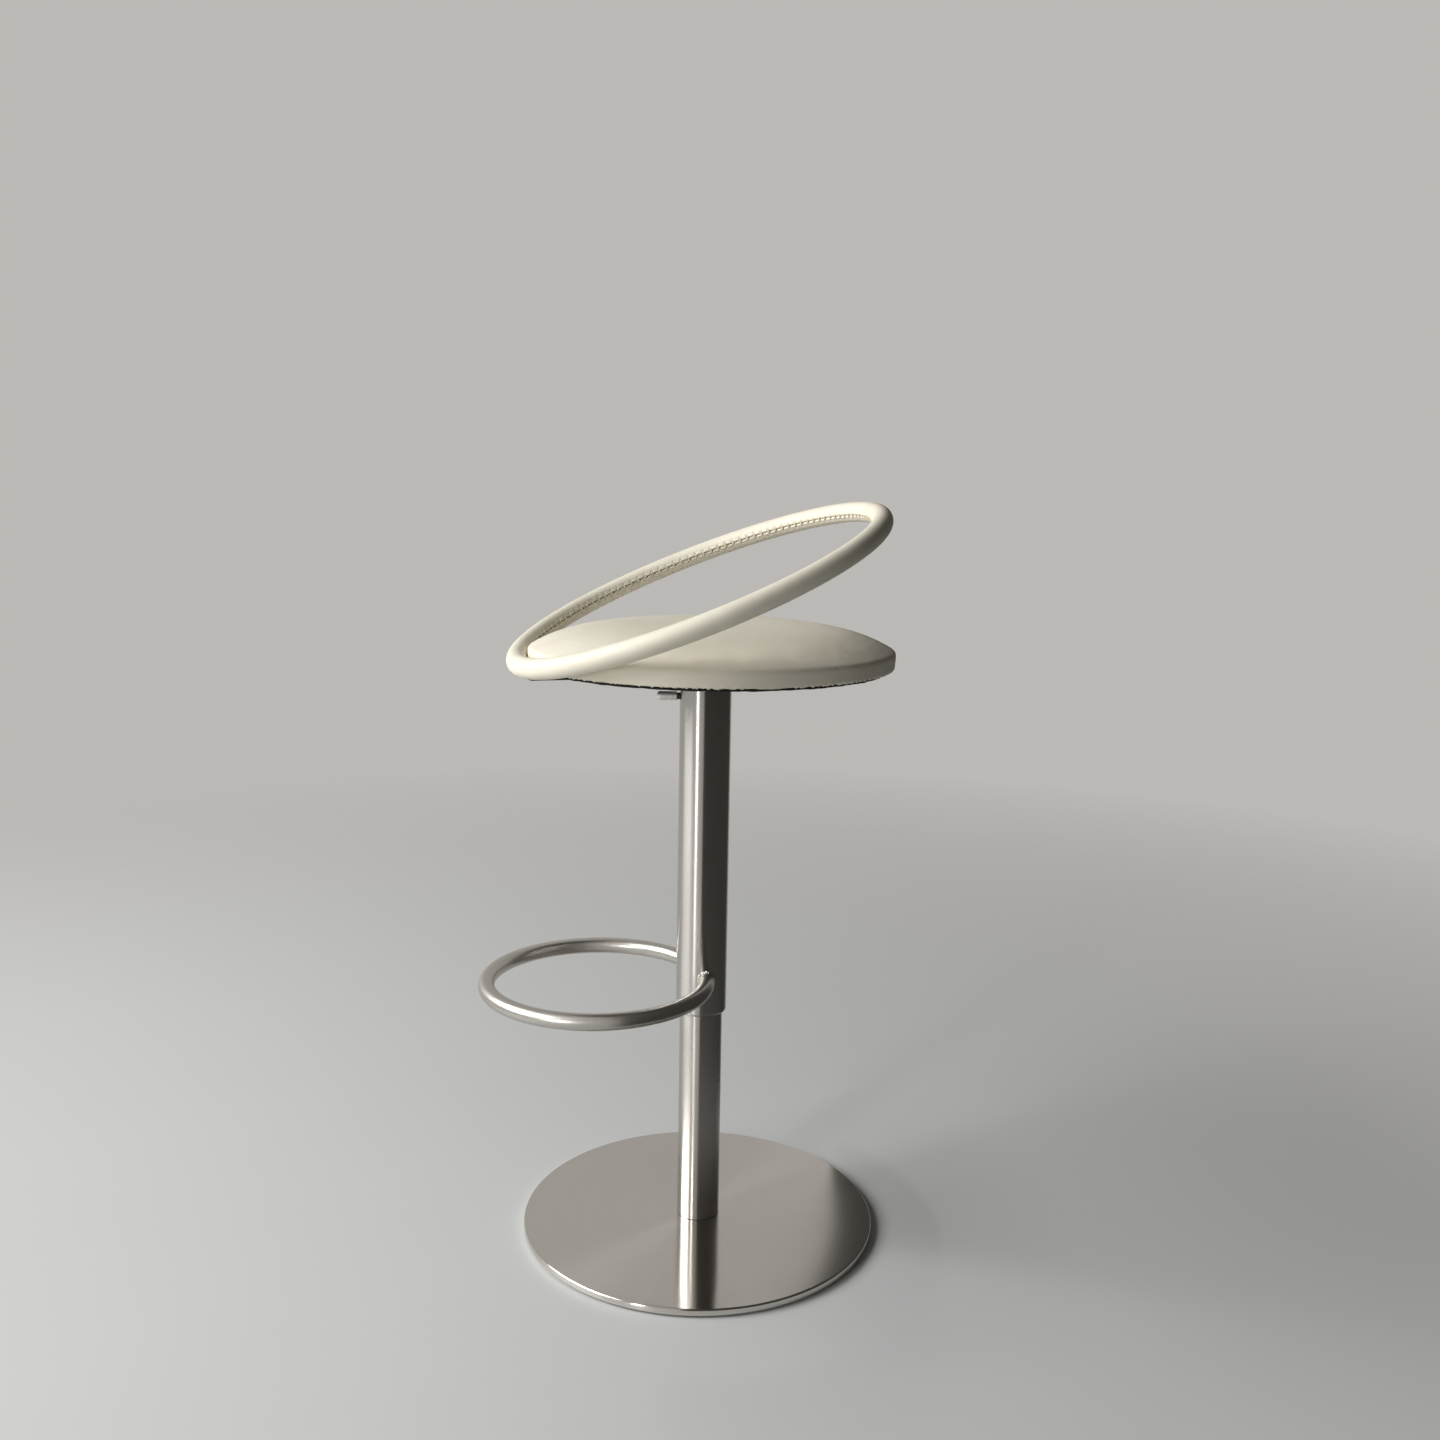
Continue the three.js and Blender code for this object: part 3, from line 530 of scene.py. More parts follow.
# Thin veneers seen at the edge, and long grain on the faces
def plywoodMaterial(name):
    material, tree, shader, place = startMaterial(name)
    grain = addNode(tree, "ShaderNodeMapping")
    tree.links.new(place, grain.inputs["Vector"])
    grain.inputs["Scale"].default_value = (12.0, 160.0, 900.0)
    figure = noiseNode(tree, grain.outputs[0], 1.0, 5.0, 0.6)
    layers = addNode(tree, "ShaderNodeTexWave", wave_type="BANDS", bands_direction="Z")
    tree.links.new(place, layers.inputs["Vector"])
    layers.inputs["Scale"].default_value = 170.0
    tone = sharedSum(tree, figure, 0.7, layers.outputs["Fac"], 0.3)
    mixColours(tree, tone, (0.30, 0.17, 0.08), (0.66, 0.45, 0.24), shader.inputs["Base Color"])
    shader.inputs["Roughness"].default_value = 0.7
    bumpFrom(tree, shader, figure, 0.0002)
    return material


# Open cells of foam, with painted shade: the colour is darker in the pits of the cells
def foamMaterial(name):
    material, tree, shader, place = startMaterial(name)
    cells = addNode(tree, "ShaderNodeTexVoronoi", feature="F1")
    tree.links.new(place, cells.inputs["Vector"])
    cells.inputs["Scale"].default_value = 900.0
    # painted shade: darker where the bump sinks into a cell, lighter on the cell walls
    mixColours(tree, remap(tree, cells.outputs["Distance"], 0.1, 0.7),
               (0.62, 0.53, 0.26), (0.82, 0.74, 0.46), shader.inputs["Base Color"])
    shader.inputs["Roughness"].default_value = 0.95
    bumpFrom(tree, shader, cells.outputs["Distance"], 0.0006)
    return material


footrestBox = nodeBox("footrest_ring")
footrestTube = (footrestBox[1].z - footrestBox[0].z) / 2
footrestRadius = (footrestBox[1].x - footrestBox[0].x) / 2 - footrestTube
footrestCentre = (0, footrestBox[0].y + footrestRadius + footrestTube, footrestBox[2].z)

cream = {
    "light": (0.86, 0.81, 0.68), "dark": (0.80, 0.745, 0.61),
    "thread": (0.80, 0.74, 0.59), "threadDark": (0.70, 0.63, 0.47),
}
materials = {
    "seatLeather": leatherMaterial("seat leather", cream["light"], cream["dark"], 1.0, 0.00007),
    "ringLeather": leatherMaterial("ring leather", cream["light"], cream["dark"], 0.8, 0.00005),
    "thread": mouldedMaterial("waxed thread", cream["threadDark"], cream["thread"], (0.5, 0.65), 2500.0),
    "plateSteel": brushedMaterial(
        "plate steel", "round", (0.63, 0.605, 0.56), (0.66, 0.635, 0.59), (0.155, 0.165), 0.03,
        1.0, 0.000001, Breaks=4.0),
    "tubeSteel": brushedMaterial(
        "tube steel", "round", (0.558, 0.534, 0.503), (0.562, 0.538, 0.507), (0.273, 0.28), 0.02,
        0.95, 0.0, Breaks=12.0),
    "footrestSteel": brushedMaterial(
        "footrest steel", "along", (0.50, 0.475, 0.44), (0.60, 0.575, 0.535), (0.27, 0.36), 0.04,
        0.4, 0.000008, (footrestRadius, footrestTube)),
    "weld": metalMaterial("polished weld", (0.5, 0.48, 0.45), (0.66, 0.64, 0.6), (0.18, 0.34), 120.0),
    "polished": metalMaterial("polished steel", (0.62, 0.61, 0.59), (0.72, 0.71, 0.69), (0.12, 0.2), 40.0),
    "knobSteel": metalMaterial(
        "turned steel", (0.80, 0.79, 0.76), (0.88, 0.87, 0.84), (0.5, 0.58), 200.0, 0.00001),
    "zinc": metalMaterial("zinc plate", (0.42, 0.43, 0.43), (0.60, 0.61, 0.60), (0.3, 0.46), 90.0),
    "blackCoat": mouldedMaterial(
        "black coat", (0.018, 0.018, 0.02), (0.026, 0.026, 0.028), (0.4, 0.52), 900.0, 0.00006),
    "blackPlastic": mouldedMaterial("black plastic", (0.012, 0.012, 0.013), (0.022, 0.022, 0.024), (0.45, 0.6)),
    "felt": feltMaterial("black felt", (0.006, 0.006, 0.007), (0.02, 0.02, 0.021)),
    "whitePlastic": mouldedMaterial("white acetal", (0.66, 0.64, 0.57), (0.74, 0.72, 0.66), (0.35, 0.48)),
    "rubber": mouldedMaterial(
        "black rubber", (0.012, 0.012, 0.012), (0.025, 0.025, 0.025), (0.75, 0.9), 900.0, 0.0001),
    "plywood": plywoodMaterial("plywood"),
    "foam": foamMaterial("seat foam"),
}
slotMaterials = {
    "brushed_steel": "tubeSteel", "plate_steel": "plateSteel", "polished_steel": "polished",
    "plated_steel": "zinc", "black_steel": "blackCoat", "seat_leather": "seatLeather",
    "seat_foam": "foam", "plywood": "plywood", "black_plastic": "blackPlastic",
    "white_plastic": "whitePlastic", "rubber": "rubber",
}
for subpart in frame["record"]["subparts"]:
    nodeObject = frame["nodes"][subpart["node"]]
    for materialSlot in nodeObject.material_slots:
        materialSlot.material = materials[slotMaterials[subpart["material_slot"]]]
print("materials ready")


# Base plate and its pad

base = {
    "steps": 192,
    "topRound": 2.4 * mm,
    "bottomRound": 1.2 * mm,
    "roundSteps": 6,
    "rings": (0.75, 0.5, 0.25),  # shares of the radius
    "padRound": 0.5 * mm,
    "padSteps": 3,
}


# Outline of a disc with rounded edges, from the axis under it to the axis over it
def discOutline(node, bottomRound, topRound, steps, rings=()):
    low, high, middle = nodeBox(node)
    return [
        (0, low.z),
        *arcPoints(high.x - bottomRound, low.z + bottomRound, bottomRound, -90, 0, steps),
        *arcPoints(high.x - topRound, high.z - topRound, topRound, 0, 90, steps),
        *[(high.x * share, high.z) for share in rings],
        (0, high.z),
    ]


def makeBase():
    outline = discOutline(
        "base_plate", base["bottomRound"], base["topRound"], base["roundSteps"], base["rings"])
    plate = spinProfile("base_disc", outline, base["steps"])
    brushMap(plate, (0, 0, 0), along=False)
    finishPiece(plate, "base", "plate_steel", materials["plateSteel"], "base_plate")
    outline = discOutline("floor_pad", base["padRound"], base["padRound"], base["padSteps"])
    pad = spinProfile("base_pad", outline, base["steps"])
    finishPiece(pad, "base", "rubber", materials["rubber"], "floor_pad")


# The two column tubes

column = {
    "steps": 128,
    "lowerWall": 1.5 * mm,
    "upperWall": 2.0 * mm,
    "endRound": 0.35 * mm,
    "shoulderRound": 4.2 * mm,
    "lipHeight": 2.0 * mm,
    "lipClearance": 0.6 * mm,
    "roundSteps": 8,
    "slotHalf": 4.7 * mm,
    "slotDrop": 3.2 * mm,
}


def leverTurn():
    middle = nodeBox("release_lever")[2]
    return math.atan2(middle.x, -middle.y)


def makeColumn():
    low, high, middle = nodeBox("lower_tube")
    radius, inner, end = high.x, high.x - column["lowerWall"], column["endRound"]
    profile = [
        (inner, low.z + end), (inner + end, low.z), (radius - end, low.z), (radius, low.z + end),
        (radius, middle.z), (radius, high.z - end), (radius - end, high.z), (inner + end, high.z),
        (inner, high.z - end),
    ]
    tube = spinProfile("stand_tube", profile, column["steps"], closed=True)
    brushMap(tube, (0, 0, 0), along=False)
    finishPiece(tube, "base", "brushed_steel", materials["tubeSteel"], "lower_tube")

    lip = radius + column["lipClearance"]
    low, high, middle = nodeBox("upper_tube")
    radius, inner, shoulder = high.x, high.x - column["upperWall"], column["shoulderRound"]
    lipTop = low.z + column["lipHeight"]
    profile = [
        (lip, low.z + end), (lip + 0.1 * mm, low.z + 0.1 * mm),
        *arcPoints(radius - shoulder, low.z + shoulder, shoulder, -84, 0, column["roundSteps"]),
        (radius, middle.z), (radius, high.z - end), (radius - end, high.z), (inner + end, high.z),
        (inner, high.z - end), (inner, lipTop), (lip, lipTop),
    ]
    sleeve = spinProfile("lift_tube", profile, column["steps"], closed=True)
    turn, half, drop = leverTurn(), column["slotHalf"], column["slotDrop"]
    place = (math.sin(turn) * radius, -math.cos(turn) * radius, nodeBox("release_lever")[2].z - drop / 2)
    slot = addBox("slot", (2 * half, 2 * radius, 2 * half + drop), place, turn)
    bevelEdges(slot, half * 0.9, 6, 60)
    cutAway(sleeve, slot)
    brushMap(sleeve, (0, 0, 0), along=False)
    finishPiece(sleeve, "seat_unit", "brushed_steel", materials["tubeSteel"], "upper_tube")


# Ring footrest; its two welds are made with the other welds below

footrest = {
    "steps": 220,
    "sides": 40,
    "buried": 1.2 * mm,  # its ends stop this far inside the column's wall
}


def footrestEnd(columnRadius):
    reach = -footrestCentre[1]
    cosine = (columnRadius ** 2 - footrestRadius ** 2 - reach ** 2) / (2 * footrestRadius * -reach)
    return math.degrees(math.acos(cosine))


def makeFootrest():
    columnRadius = nodeBox("upper_tube")[1].x
    gap = footrestEnd(columnRadius - footrest["buried"])
    ring = bentBar("footrest_bar", footrestRadius, footrestTube, footrest["steps"], footrest["sides"],
                   90 + gap, 450 - gap)
    ring.location = footrestCentre
    applyPlace(ring)
    brushMap(ring, footrestCentre, along=True, ring=footrestRadius)
    finishPiece(ring, "seat_unit", "brushed_steel", materials["footrestSteel"], "footrest_ring")


# Seat cushion: leather drawn over foam on a plywood board

seat = {
    "width": 210.2 * mm,  # from the axis to the side
    "shoulder": 5.5 * mm,  # radius between the side and the crown
    "crownDrop": 26.0 * mm,  # from the top down to the place below
    "crownPlace": 205.5 * mm,
    "crownPower": 4.4,
    "tuck": 0.9 * mm,  # the side draws in to the board
    "edgeRound": 2.2 * mm,
    "hem": 26 * mm,  # leather turned in under the board
    "leather": 1.5 * mm,
    "foamInset": 2.3 * mm,
    "crownSteps": 40,
    "steps": 160,
    "startInset": 0.9 * mm,
    "voxel": 3.9 * mm,
    "pressure": 4.0,
    "frames": 20,
    "cap": 1.2 * mm,  # how far a point may swell
    "fill": 0.95,
    "uneven": 0.4,  # share of the cloth's unevenness that stays
    "gatherFrom": 1.5 * mm,  # puckers fade over the height above this one
    "gatherHeight": 7 * mm,
    "gatherInside": 170 * mm,  # and towards this radius
    "gatherFade": 30 * mm,
    "softDents": 0.3 * mm,
    "dentSize": 0.07,
    "puckers": 0.3 * mm,
    "puckerCount": 104,
    "seed": 5,
}


# Outline from the axis under the seat, round the side and over the crown to the axis
def seatOutline(inset, foot=None):
    low, high, middle = nodeBox("seat_cover")
    width, shoulder, corner = seat["width"], seat["shoulder"], seat["edgeRound"]

    def crownAt(across):
        return high.z - seat["crownDrop"] * (across / seat["crownPlace"]) ** seat["crownPower"]

    def slopeAt(across):
        return math.atan(seat["crownPower"] * (high.z - crownAt(across)) / across)

    meet = width - shoulder  # where the crown runs into the shoulder
    for _ in range(40):
        meet = width - shoulder + shoulder * math.sin(slopeAt(meet))
    slope = slopeAt(meet)
    middleUp = crownAt(meet) - shoulder * math.cos(slope)

    bottomOut = width - seat["tuck"]
    outer = [(0, low.z, -90), (bottomOut - seat["hem"], low.z, -90)]
    edge = arcPoints(bottomOut - corner, low.z + corner, corner, -90, 0, 6)
    outer += [(*place, 15 * i - 90) for i, place in enumerate(edge)]
    for part in (0.25, 0.5, 0.75):
        up = low.z + corner + (middleUp - low.z - corner) * part
        outer.append((bottomOut + seat["tuck"] * math.sin(part * math.pi / 2), up, 0))
    rounds = 9
    for i in range(rounds + 1):
        angle = (90 - math.degrees(slope)) * i / rounds
        turn = math.radians(angle)
        outer.append((
            width - shoulder + shoulder * math.cos(turn), middleUp + shoulder * math.sin(turn), angle))
    for i in range(1, seat["crownSteps"] + 1):
        across = meet * (1 - i / seat["crownSteps"])
        angle = 90 - math.degrees(slopeAt(across)) if across > 0 else 90
        outer.append((across, crownAt(across), angle))
    points = []
    for across, up, angle in outer:
        turn = math.radians(angle)
        points.append((max(0.0, across - inset * math.cos(turn)), up - inset * math.sin(turn)))
    if foot is not None:  # cut off level at the foot
        above = [place for place in points if place[1] > foot + 0.2 * mm]
        points = [(0, foot), (above[0][0], foot), *above]
    return points


# Swells a closed shape with cloth under pressure, held where the leather is stapled
def inflate(piece, heldBelow, voxel, pressure, frames, cap):
    pick(piece)
    piece.data.remesh_voxel_size = voxel
    bpy.ops.object.voxel_remesh()
    start = [vertex.co.copy() for vertex in piece.data.vertices]
    held = piece.vertex_groups.new(name="held")
    held.add([i for i, place in enumerate(start) if place.z < heldBelow], 1.0, "REPLACE")
    cloth = piece.modifiers.new("swell", "CLOTH")
    settings = cloth.settings
    settings.quality = 6
    settings.mass = 0.3
    settings.tension_stiffness = 40
    settings.compression_stiffness = 40
    settings.bending_stiffness = 2
    settings.use_pressure = True
    settings.uniform_pressure_force = pressure
    settings.vertex_group_mass = held.name
    settings.effector_weights.gravity = 0
    cloth.collision_settings.use_collision = False
    cloth.point_cache.frame_end = frames
    for number in range(1, frames + 1):
        bpy.context.scene.frame_set(number)
    applyModifier(piece, cloth)
    bpy.context.scene.frame_set(1)
    piece.vertex_groups.clear()
    moves = [vertex.co - place for vertex, place in zip(piece.data.vertices, start)]
    farthest = max(move.length for move in moves)
    for vertex, place, move in zip(piece.data.vertices, start, moves):
        vertex.co = place + move * min(1.0, cap / max(move.length, 1e-9))
    print(f"cloth moved {farthest / mm:.2f} mm at most, capped at {cap / mm:.2f} mm")
    modifier = piece.modifiers.new("finer", "SUBSURF")
    modifier.levels = modifier.render_levels = 1
    applyModifier(piece, modifier)


# Brings each stretch back on the outline, and keeps a share of the unevenness round the seat
def settleOnOutline(piece, outline, centreY, keepBelow, uneven):
    dense = []
    for here, there in zip(outline, outline[1:]):
        parts = max(1, round(math.dist(here, there) / mm))
        for i in range(parts):
            share = i / parts
            dense.append((here[0] + (there[0] - here[0]) * share, here[1] + (there[1] - here[1]) * share))
    normals = []
    for i in range(len(dense)):
        before, after = dense[max(0, i - 1)], dense[min(len(dense) - 1, i + 1)]
        along = Vector((after[0] - before[0], after[1] - before[1])).normalized()
        normals.append(Vector((along.y, -along.x)))
    tree = KDTree(len(dense))
    for i, place in enumerate(dense):
        tree.insert((*place, 0), i)
    tree.balance()
    nearest, own, offsets = [], [], [[] for _ in dense]
    for vertex in piece.data.vertices:
        place = Vector((math.hypot(vertex.co.x, vertex.co.y - centreY), vertex.co.z))
        found, i, distance = tree.find((*place, 0))
        nearest.append(i)
        own.append((place - Vector(dense[i])).dot(normals[i]))
        offsets[i].append(own[-1])
    means = []
    reach = 3
    for i in range(len(dense)):
        around = [value for group in offsets[max(0, i - reach):i + reach + 1] for value in group]
        means.append(sum(around) / len(around) if around else 0.0)
    for vertex, i, offset in zip(piece.data.vertices, nearest, own):
        if vertex.co.z >= keepBelow:
            push = -(means[i] + (1 - uneven) * (offset - means[i])) * normals[i]
            moveOut(vertex.co, centreY, push.x)
            vertex.co.z += push.y
    print(f"cushion settled by {max(abs(value) for value in means) / mm:.2f} mm at most")


def makeSeat():
    low, high, middle = nodeBox("seat_cover")
    centre = (0, middle.y)
    cushion = spinProfile("seat_cushion", seatOutline(seat["startInset"]), seat["steps"], centre)
    inflate(cushion, low.z + 3 * mm, seat["voxel"], seat["pressure"], seat["frames"], seat["cap"])
    dents = bpy.data.textures.new("soft dents", "CLOUDS")
    dents.noise_scale = seat["dentSize"]
    modifier = cushion.modifiers.new("soft dents", "DISPLACE")
    modifier.texture = dents
    modifier.texture_coords = "LOCAL"
    modifier.strength = 2 * seat["softDents"]
    modifier.mid_level = 0.5
    applyModifier(cushion, modifier)
    settleOnOutline(cushion, seatOutline(0.0), middle.y, low.z + 1.6 * mm, seat["uneven"])

    # Gathered leather where it turns under the board
    chance = random.Random(seat["seed"])
    waves = [
        (seat["puckerCount"] + chance.randint(-30, 30), chance.uniform(0, fullTurn)) for _ in range(5)]
    for vertex in cushion.data.vertices:
        place = vertex.co
        up = max(0.0, place.z - low.z - seat["gatherFrom"])
        past = max(0.0, math.hypot(place.x, place.y - middle.y) - seat["gatherInside"])
        near = max(0.0, 1 - up / seat["gatherHeight"]) * min(1.0, past / seat["gatherFade"])
        if near > 0:
            wave = meanWave(waves, math.atan2(place.y - middle.y, place.x))
            moveOut(place, middle.y, seat["puckers"] * near * (wave - 0.35))
            place.z = max(place.z, low.z)
    foot = low.z - 2 * mm
    inner = seatOutline(seat["leather"])
    mouth = inner[1][0]
    hollow = [(0, foot), (mouth, foot), (mouth, low.z + seat["leather"] + 0.2 * mm)]
    hollow += [place for place in inner[2:] if place[1] > low.z + seat["leather"] + 0.25 * mm]
    cutAway(cushion, spinProfile("seat_hollow", hollow, seat["steps"], centre))
    finishPiece(cushion, "seat_unit", "seat_leather", materials["seatLeather"], "seat_cover")

    boardTop = nodeBox("seat_board")[1].z
    foam = spinProfile(
        "seat_foam_block", seatOutline(seat["foamInset"], boardTop + 0.3 * mm),
        seat["steps"] // 2, centre)
    finishPiece(foam, "seat_unit", "seat_foam", materials["foam"], "seat_foam")


# Felt stapled under the seat, with an uneven folded edge

dustCover = {
    "steps": 288,
    "sheet": 1.1 * mm,
    "foldWidth": 14 * mm,
    "edgeThin": 0.7 * mm,  # pulled flat by the staples
    "edgeWave": 0.9 * mm,
    "waveCounts": (17, 37, 61, 94),
    "boltHole": 4.3 * mm,
    "screwHole": 2.8 * mm,
    "staples": 36,
    "stapleInset": 7.5 * mm,
    "stapleSpan": 9 * mm,
    "stapleWire": 0.9 * mm,
    "stapleTurn": 0.12,  # radians that a staple may stand askew
    "seed": 11,
}


def makeDustCover():
    low, high, middle = nodeBox("dust_cover")
    radius, centre = high.x, (0, middle.y)
    sheet, fold = dustCover["sheet"], dustCover["foldWidth"]
    thin = dustCover["edgeThin"]
    half = (high.z - low.z - thin) / 2
    profile = [
        (0, low.z), (radius * 0.5, low.z), (radius - fold * 1.3, low.z),
        (radius - fold * 0.9, low.z + thin * 0.8),
        *[(radius - half + across, up) for across, up in arcPoints(0, low.z + thin + half, half, -90, 90, 8)],
        (radius - fold, high.z), (radius - fold, low.z + sheet),
        (radius * 0.5, low.z + sheet), (0, low.z + sheet),
    ]
    cover = spinProfile("under_cover", profile, dustCover["steps"], centre)
    chance = random.Random(dustCover["seed"])
    waves = [(count, chance.uniform(0, fullTurn)) for count in dustCover["waveCounts"]]
    for vertex in cover.data.vertices:
        place = vertex.co
        out = math.hypot(place.x, place.y - middle.y)
        near = min(1.0, max(0.0, (out - radius + fold) / fold))
        if near > 0:
            lift = meanWave(waves, math.atan2(place.y - middle.y, place.x)) - 0.5
            moveOut(place, middle.y, dustCover["edgeWave"] * near * lift)
            place.z += 0.5 * near * lift * (place.z - middle.z)
    cutters = []
    for number in range(1, 5):
        cutters.append(cutterAt(f"plate_bolt_{number}", dustCover["boltHole"], low.z, high.z, 24))
        cutters.append(cutterAt(f"bracket_screw_{number}", dustCover["screwHole"], low.z, high.z, 24))
    cutAway(cover, *cutters)
    finishPiece(cover, "seat_unit", "black_plastic", materials["felt"], "dust_cover")


def makeStaples():
    low, high, middle = nodeBox("dust_cover")
    strip = nodeBox("ring_bracket")[1]
    wire, span = dustCover["stapleWire"], dustCover["stapleSpan"]
    reach = high.x - dustCover["stapleInset"]
    up = low.z + dustCover["edgeThin"] - wire * 0.1
    staple = addBox("staple", (wire * 1.3, span, wire), (0, 0, up))
    for vertex in staple.data.vertices:  # its ends dip into the felt
        vertex.co.y *= 0.94 if vertex.co.z < up else 1.0
    bevelEdges(staple, wire * 0.3, 2)
    chance = random.Random(dustCover["seed"])
    copies = []
    for number in range(dustCover["staples"]):
        turn = fullTurn * (number + chance.uniform(-0.18, 0.18)) / dustCover["staples"]
        askew = chance.uniform(-dustCover["stapleTurn"], dustCover["stapleTurn"])
        place = (reach * math.cos(turn), middle.y + reach * math.sin(turn), 0)
        if abs(place[0]) < strip.x + span and place[1] < 0:
            continue  # the ring's bracket is in the way
        twin = copyOf(staple, "staple")
        twin.rotation_euler.z = turn + askew
        twin.location = place
        applyPlace(twin)
        copies.append(twin)
    bpy.data.objects.remove(staple)
    staples = joinPieces("cover_staples", copies)
    finishPiece(staples, "seat_unit", "plated_steel", materials["zinc"])


# Backrest ring: leather sewn round the steel tube with a crossed lace

backRing = {
    "tube": 9.8 * mm,  # inner radius of the sleeve
    "stitches": 130,
    "stepsPerStitch": 10,
    "sectionSteps": 21,
    "innerSteps": 14,
    "seamHalf": 0.4 * mm,
    "lipDrop": 1.2 * mm,
    "lipWidth": 0.06,  # radians of the section
    "holeAngle": 0.30,
    "holeDepth": 0.6 * mm,
    "holeSize": 1.3 * mm,
    "pillow": 0.5 * mm,
    "crease": 0.55 * mm,
    "creaseHalf": 1.5 * mm,
    "thread": 0.62 * mm,
    "threadGap": 0.5 * mm,  # between the two strands of a stitch
    "threadLift": 0.35 * mm,
    "fill": 1.0,
}


def ringFacts():
    low, high, middle = nodeBox("ring_cover")
    section = (high.x - low.x) / 2 - (nodeBox("ring_tube")[1].x - 9.5 * mm)
    radius = high.x - section
    tilt = math.asin(((high.z - low.z) / 2 - section) / radius)
    return radius, section, tilt, middle


def layRing(piece):
    radius, section, tilt, middle = ringFacts()
    piece.rotation_euler.x = tilt
    piece.location = middle
    applyPlace(piece)


def ringPoint(turn, roll, out):
    radius = ringFacts()[0]
    reach = radius - out * math.cos(roll)
    return Vector((reach * math.cos(turn), reach * math.sin(turn), out * math.sin(roll)))


def makeRingSleeve():
    radius, section, tilt, middle = ringFacts()
    seam, count = backRing["seamHalf"] / section, backRing["sectionSteps"]
    rolls = [seam + (math.pi - seam) * (i / count) ** 1.6 for i in range(count + 1)]
    rolls += [fullTurn - roll for roll in reversed(rolls[:-1])]
    outline = []
    for roll in rolls:
        fromSeam = min(roll, fullTurn - roll) - seam
        out = section - backRing["lipDrop"] * math.exp(-(fromSeam / backRing["lipWidth"]) ** 2)
        outline.append((radius - out * math.cos(roll), out * math.sin(roll)))
    inner = backRing["tube"]
    for i in range(backRing["innerSteps"] + 1):
        roll = fullTurn - seam - (fullTurn - 2 * seam) * i / backRing["innerSteps"]
        outline.append((radius - inner * math.cos(roll), inner * math.sin(roll)))
    steps = backRing["stitches"] * backRing["stepsPerStitch"]
    sleeve = spinProfile("ring_sleeve", outline, steps, closed=True)
    pitch = fullTurn * (radius - section) / backRing["stitches"]
    hole, creaseHalf = backRing["holeAngle"], backRing["creaseHalf"]
    for vertex in sleeve.data.vertices:
        place = vertex.co
        reach = math.hypot(place.x, place.y)
        out = math.hypot(radius - reach, place.z)
        roll = abs(math.atan2(place.z, radius - reach))
        if out < section - backRing["lipDrop"] - 0.1 * mm or roll > 0.8:
            continue
        turn = math.atan2(place.y, place.x) / fullTurn * backRing["stitches"]
        along = (turn - round(turn)) * pitch  # from the nearest stitch
        aside = (roll - hole) * section
        pit = math.exp(-(along ** 2 + aside ** 2) / backRing["holeSize"] ** 2)
        band = 1 / (1 + math.exp((roll - hole * 1.05) / 0.028))  # inside the two rows of holes
        crease = math.exp(-(along / creaseHalf) ** 4)
        pillow = max(0.0, math.sin(math.pi * min(roll / hole, 1.0))) ** 0.6
        lift = band * (backRing["pillow"] * pillow * (1 - crease) - backRing["crease"] * crease * 0.6)
        change = (out + lift - backRing["holeDepth"] * pit) / out
        newReach = radius - (radius - reach) * change
        place.x *= newReach / reach
        place.y *= newReach / reach
        place.z *= change
    layRing(sleeve)

    # Room for the bracket, from the tube's centre line inwards
    strip = nodeBox("ring_bracket")
    play = 0.5 * mm
    bottom, top = strip[0].z - play, strip[1].z + play
    slot = spinProfile("slot", [(0, bottom), (radius, bottom), (radius, top), (0, top)], 128)
    slot.scale.y = math.cos(tilt)
    slot.location = (0, middle.y, 0)
    applyPlace(slot)
    around = addBox("around", (2 * (strip[1].x + play), 2 * radius, 1), (0, -radius, bottom))
    combine(slot, around, "INTERSECT")
    cutAway(sleeve, slot)
    finishPiece(sleeve, "seat_unit", "seat_leather", materials["ringLeather"], "ring_cover")


# A thread laid through points, made a round bar of the given radius
def threadThrough(name, points, radius, resolution=0, closed=False):
    path = [*points, points[0]] if closed else points
    piece = drawLine(name, path[0], [there - here for here, there in zip(path, path[1:])])
    bpy.ops.mesh.remove_doubles(threshold=joinDistance)
    bpy.ops.object.mode_set(mode="OBJECT")
    bpy.ops.object.convert(target="CURVE")
    piece.data.bevel_depth = radius
    piece.data.bevel_resolution = resolution
    piece.data.use_fill_caps = True
    bpy.ops.object.convert(target="MESH")
    piece = bpy.context.object
    cleanMesh(piece)
    return piece


# Each stitch is a doubled thread that crosses the seam between two holes
def makeRingLace():
    radius, section, tilt, middle = ringFacts()
    step = fullTurn / backRing["stitches"]
    hole = backRing["holeAngle"]
    strands = []
    for side in (-1, 1):
        points = []
        for i in range(7):
            part = 2 * i / 6 - 1
            out = section - 1.3 * mm + (1.3 * mm + backRing["threadLift"]) * (1 - abs(part) ** 4)
            turn = side * (backRing["threadGap"] + backRing["thread"]) / 2 / (radius - section)
            points.append(ringPoint(turn * (1 - 0.35 * part * side), hole * part, out))
        strands.append(threadThrough("strand", points, backRing["thread"], 1))
    lace = joinPieces("ring_lace", strands)
    pick(lace)
    bpy.ops.object.mode_set(mode="EDIT")
    bpy.ops.mesh.select_all(action="SELECT")
    count = backRing["stitches"] - 1
    bpy.ops.mesh.spin(steps=count, dupli=True, angle=count * step, center=(0, 0, 0), axis=(0, 0, 1))
    bpy.ops.object.mode_set(mode="OBJECT")
    layRing(lace)
    finishPiece(lace, "seat_unit", "seat_leather", materials["thread"])


# Welds

weld = {
    "bead": 2.0 * mm,
    "ripple": 0.22 * mm,
    "ripplePitch": 2.2 * mm,
    "sides": 12,
    "footrestSteps": 120,
    "plateSteps": 240,
    "seed": 3,
}


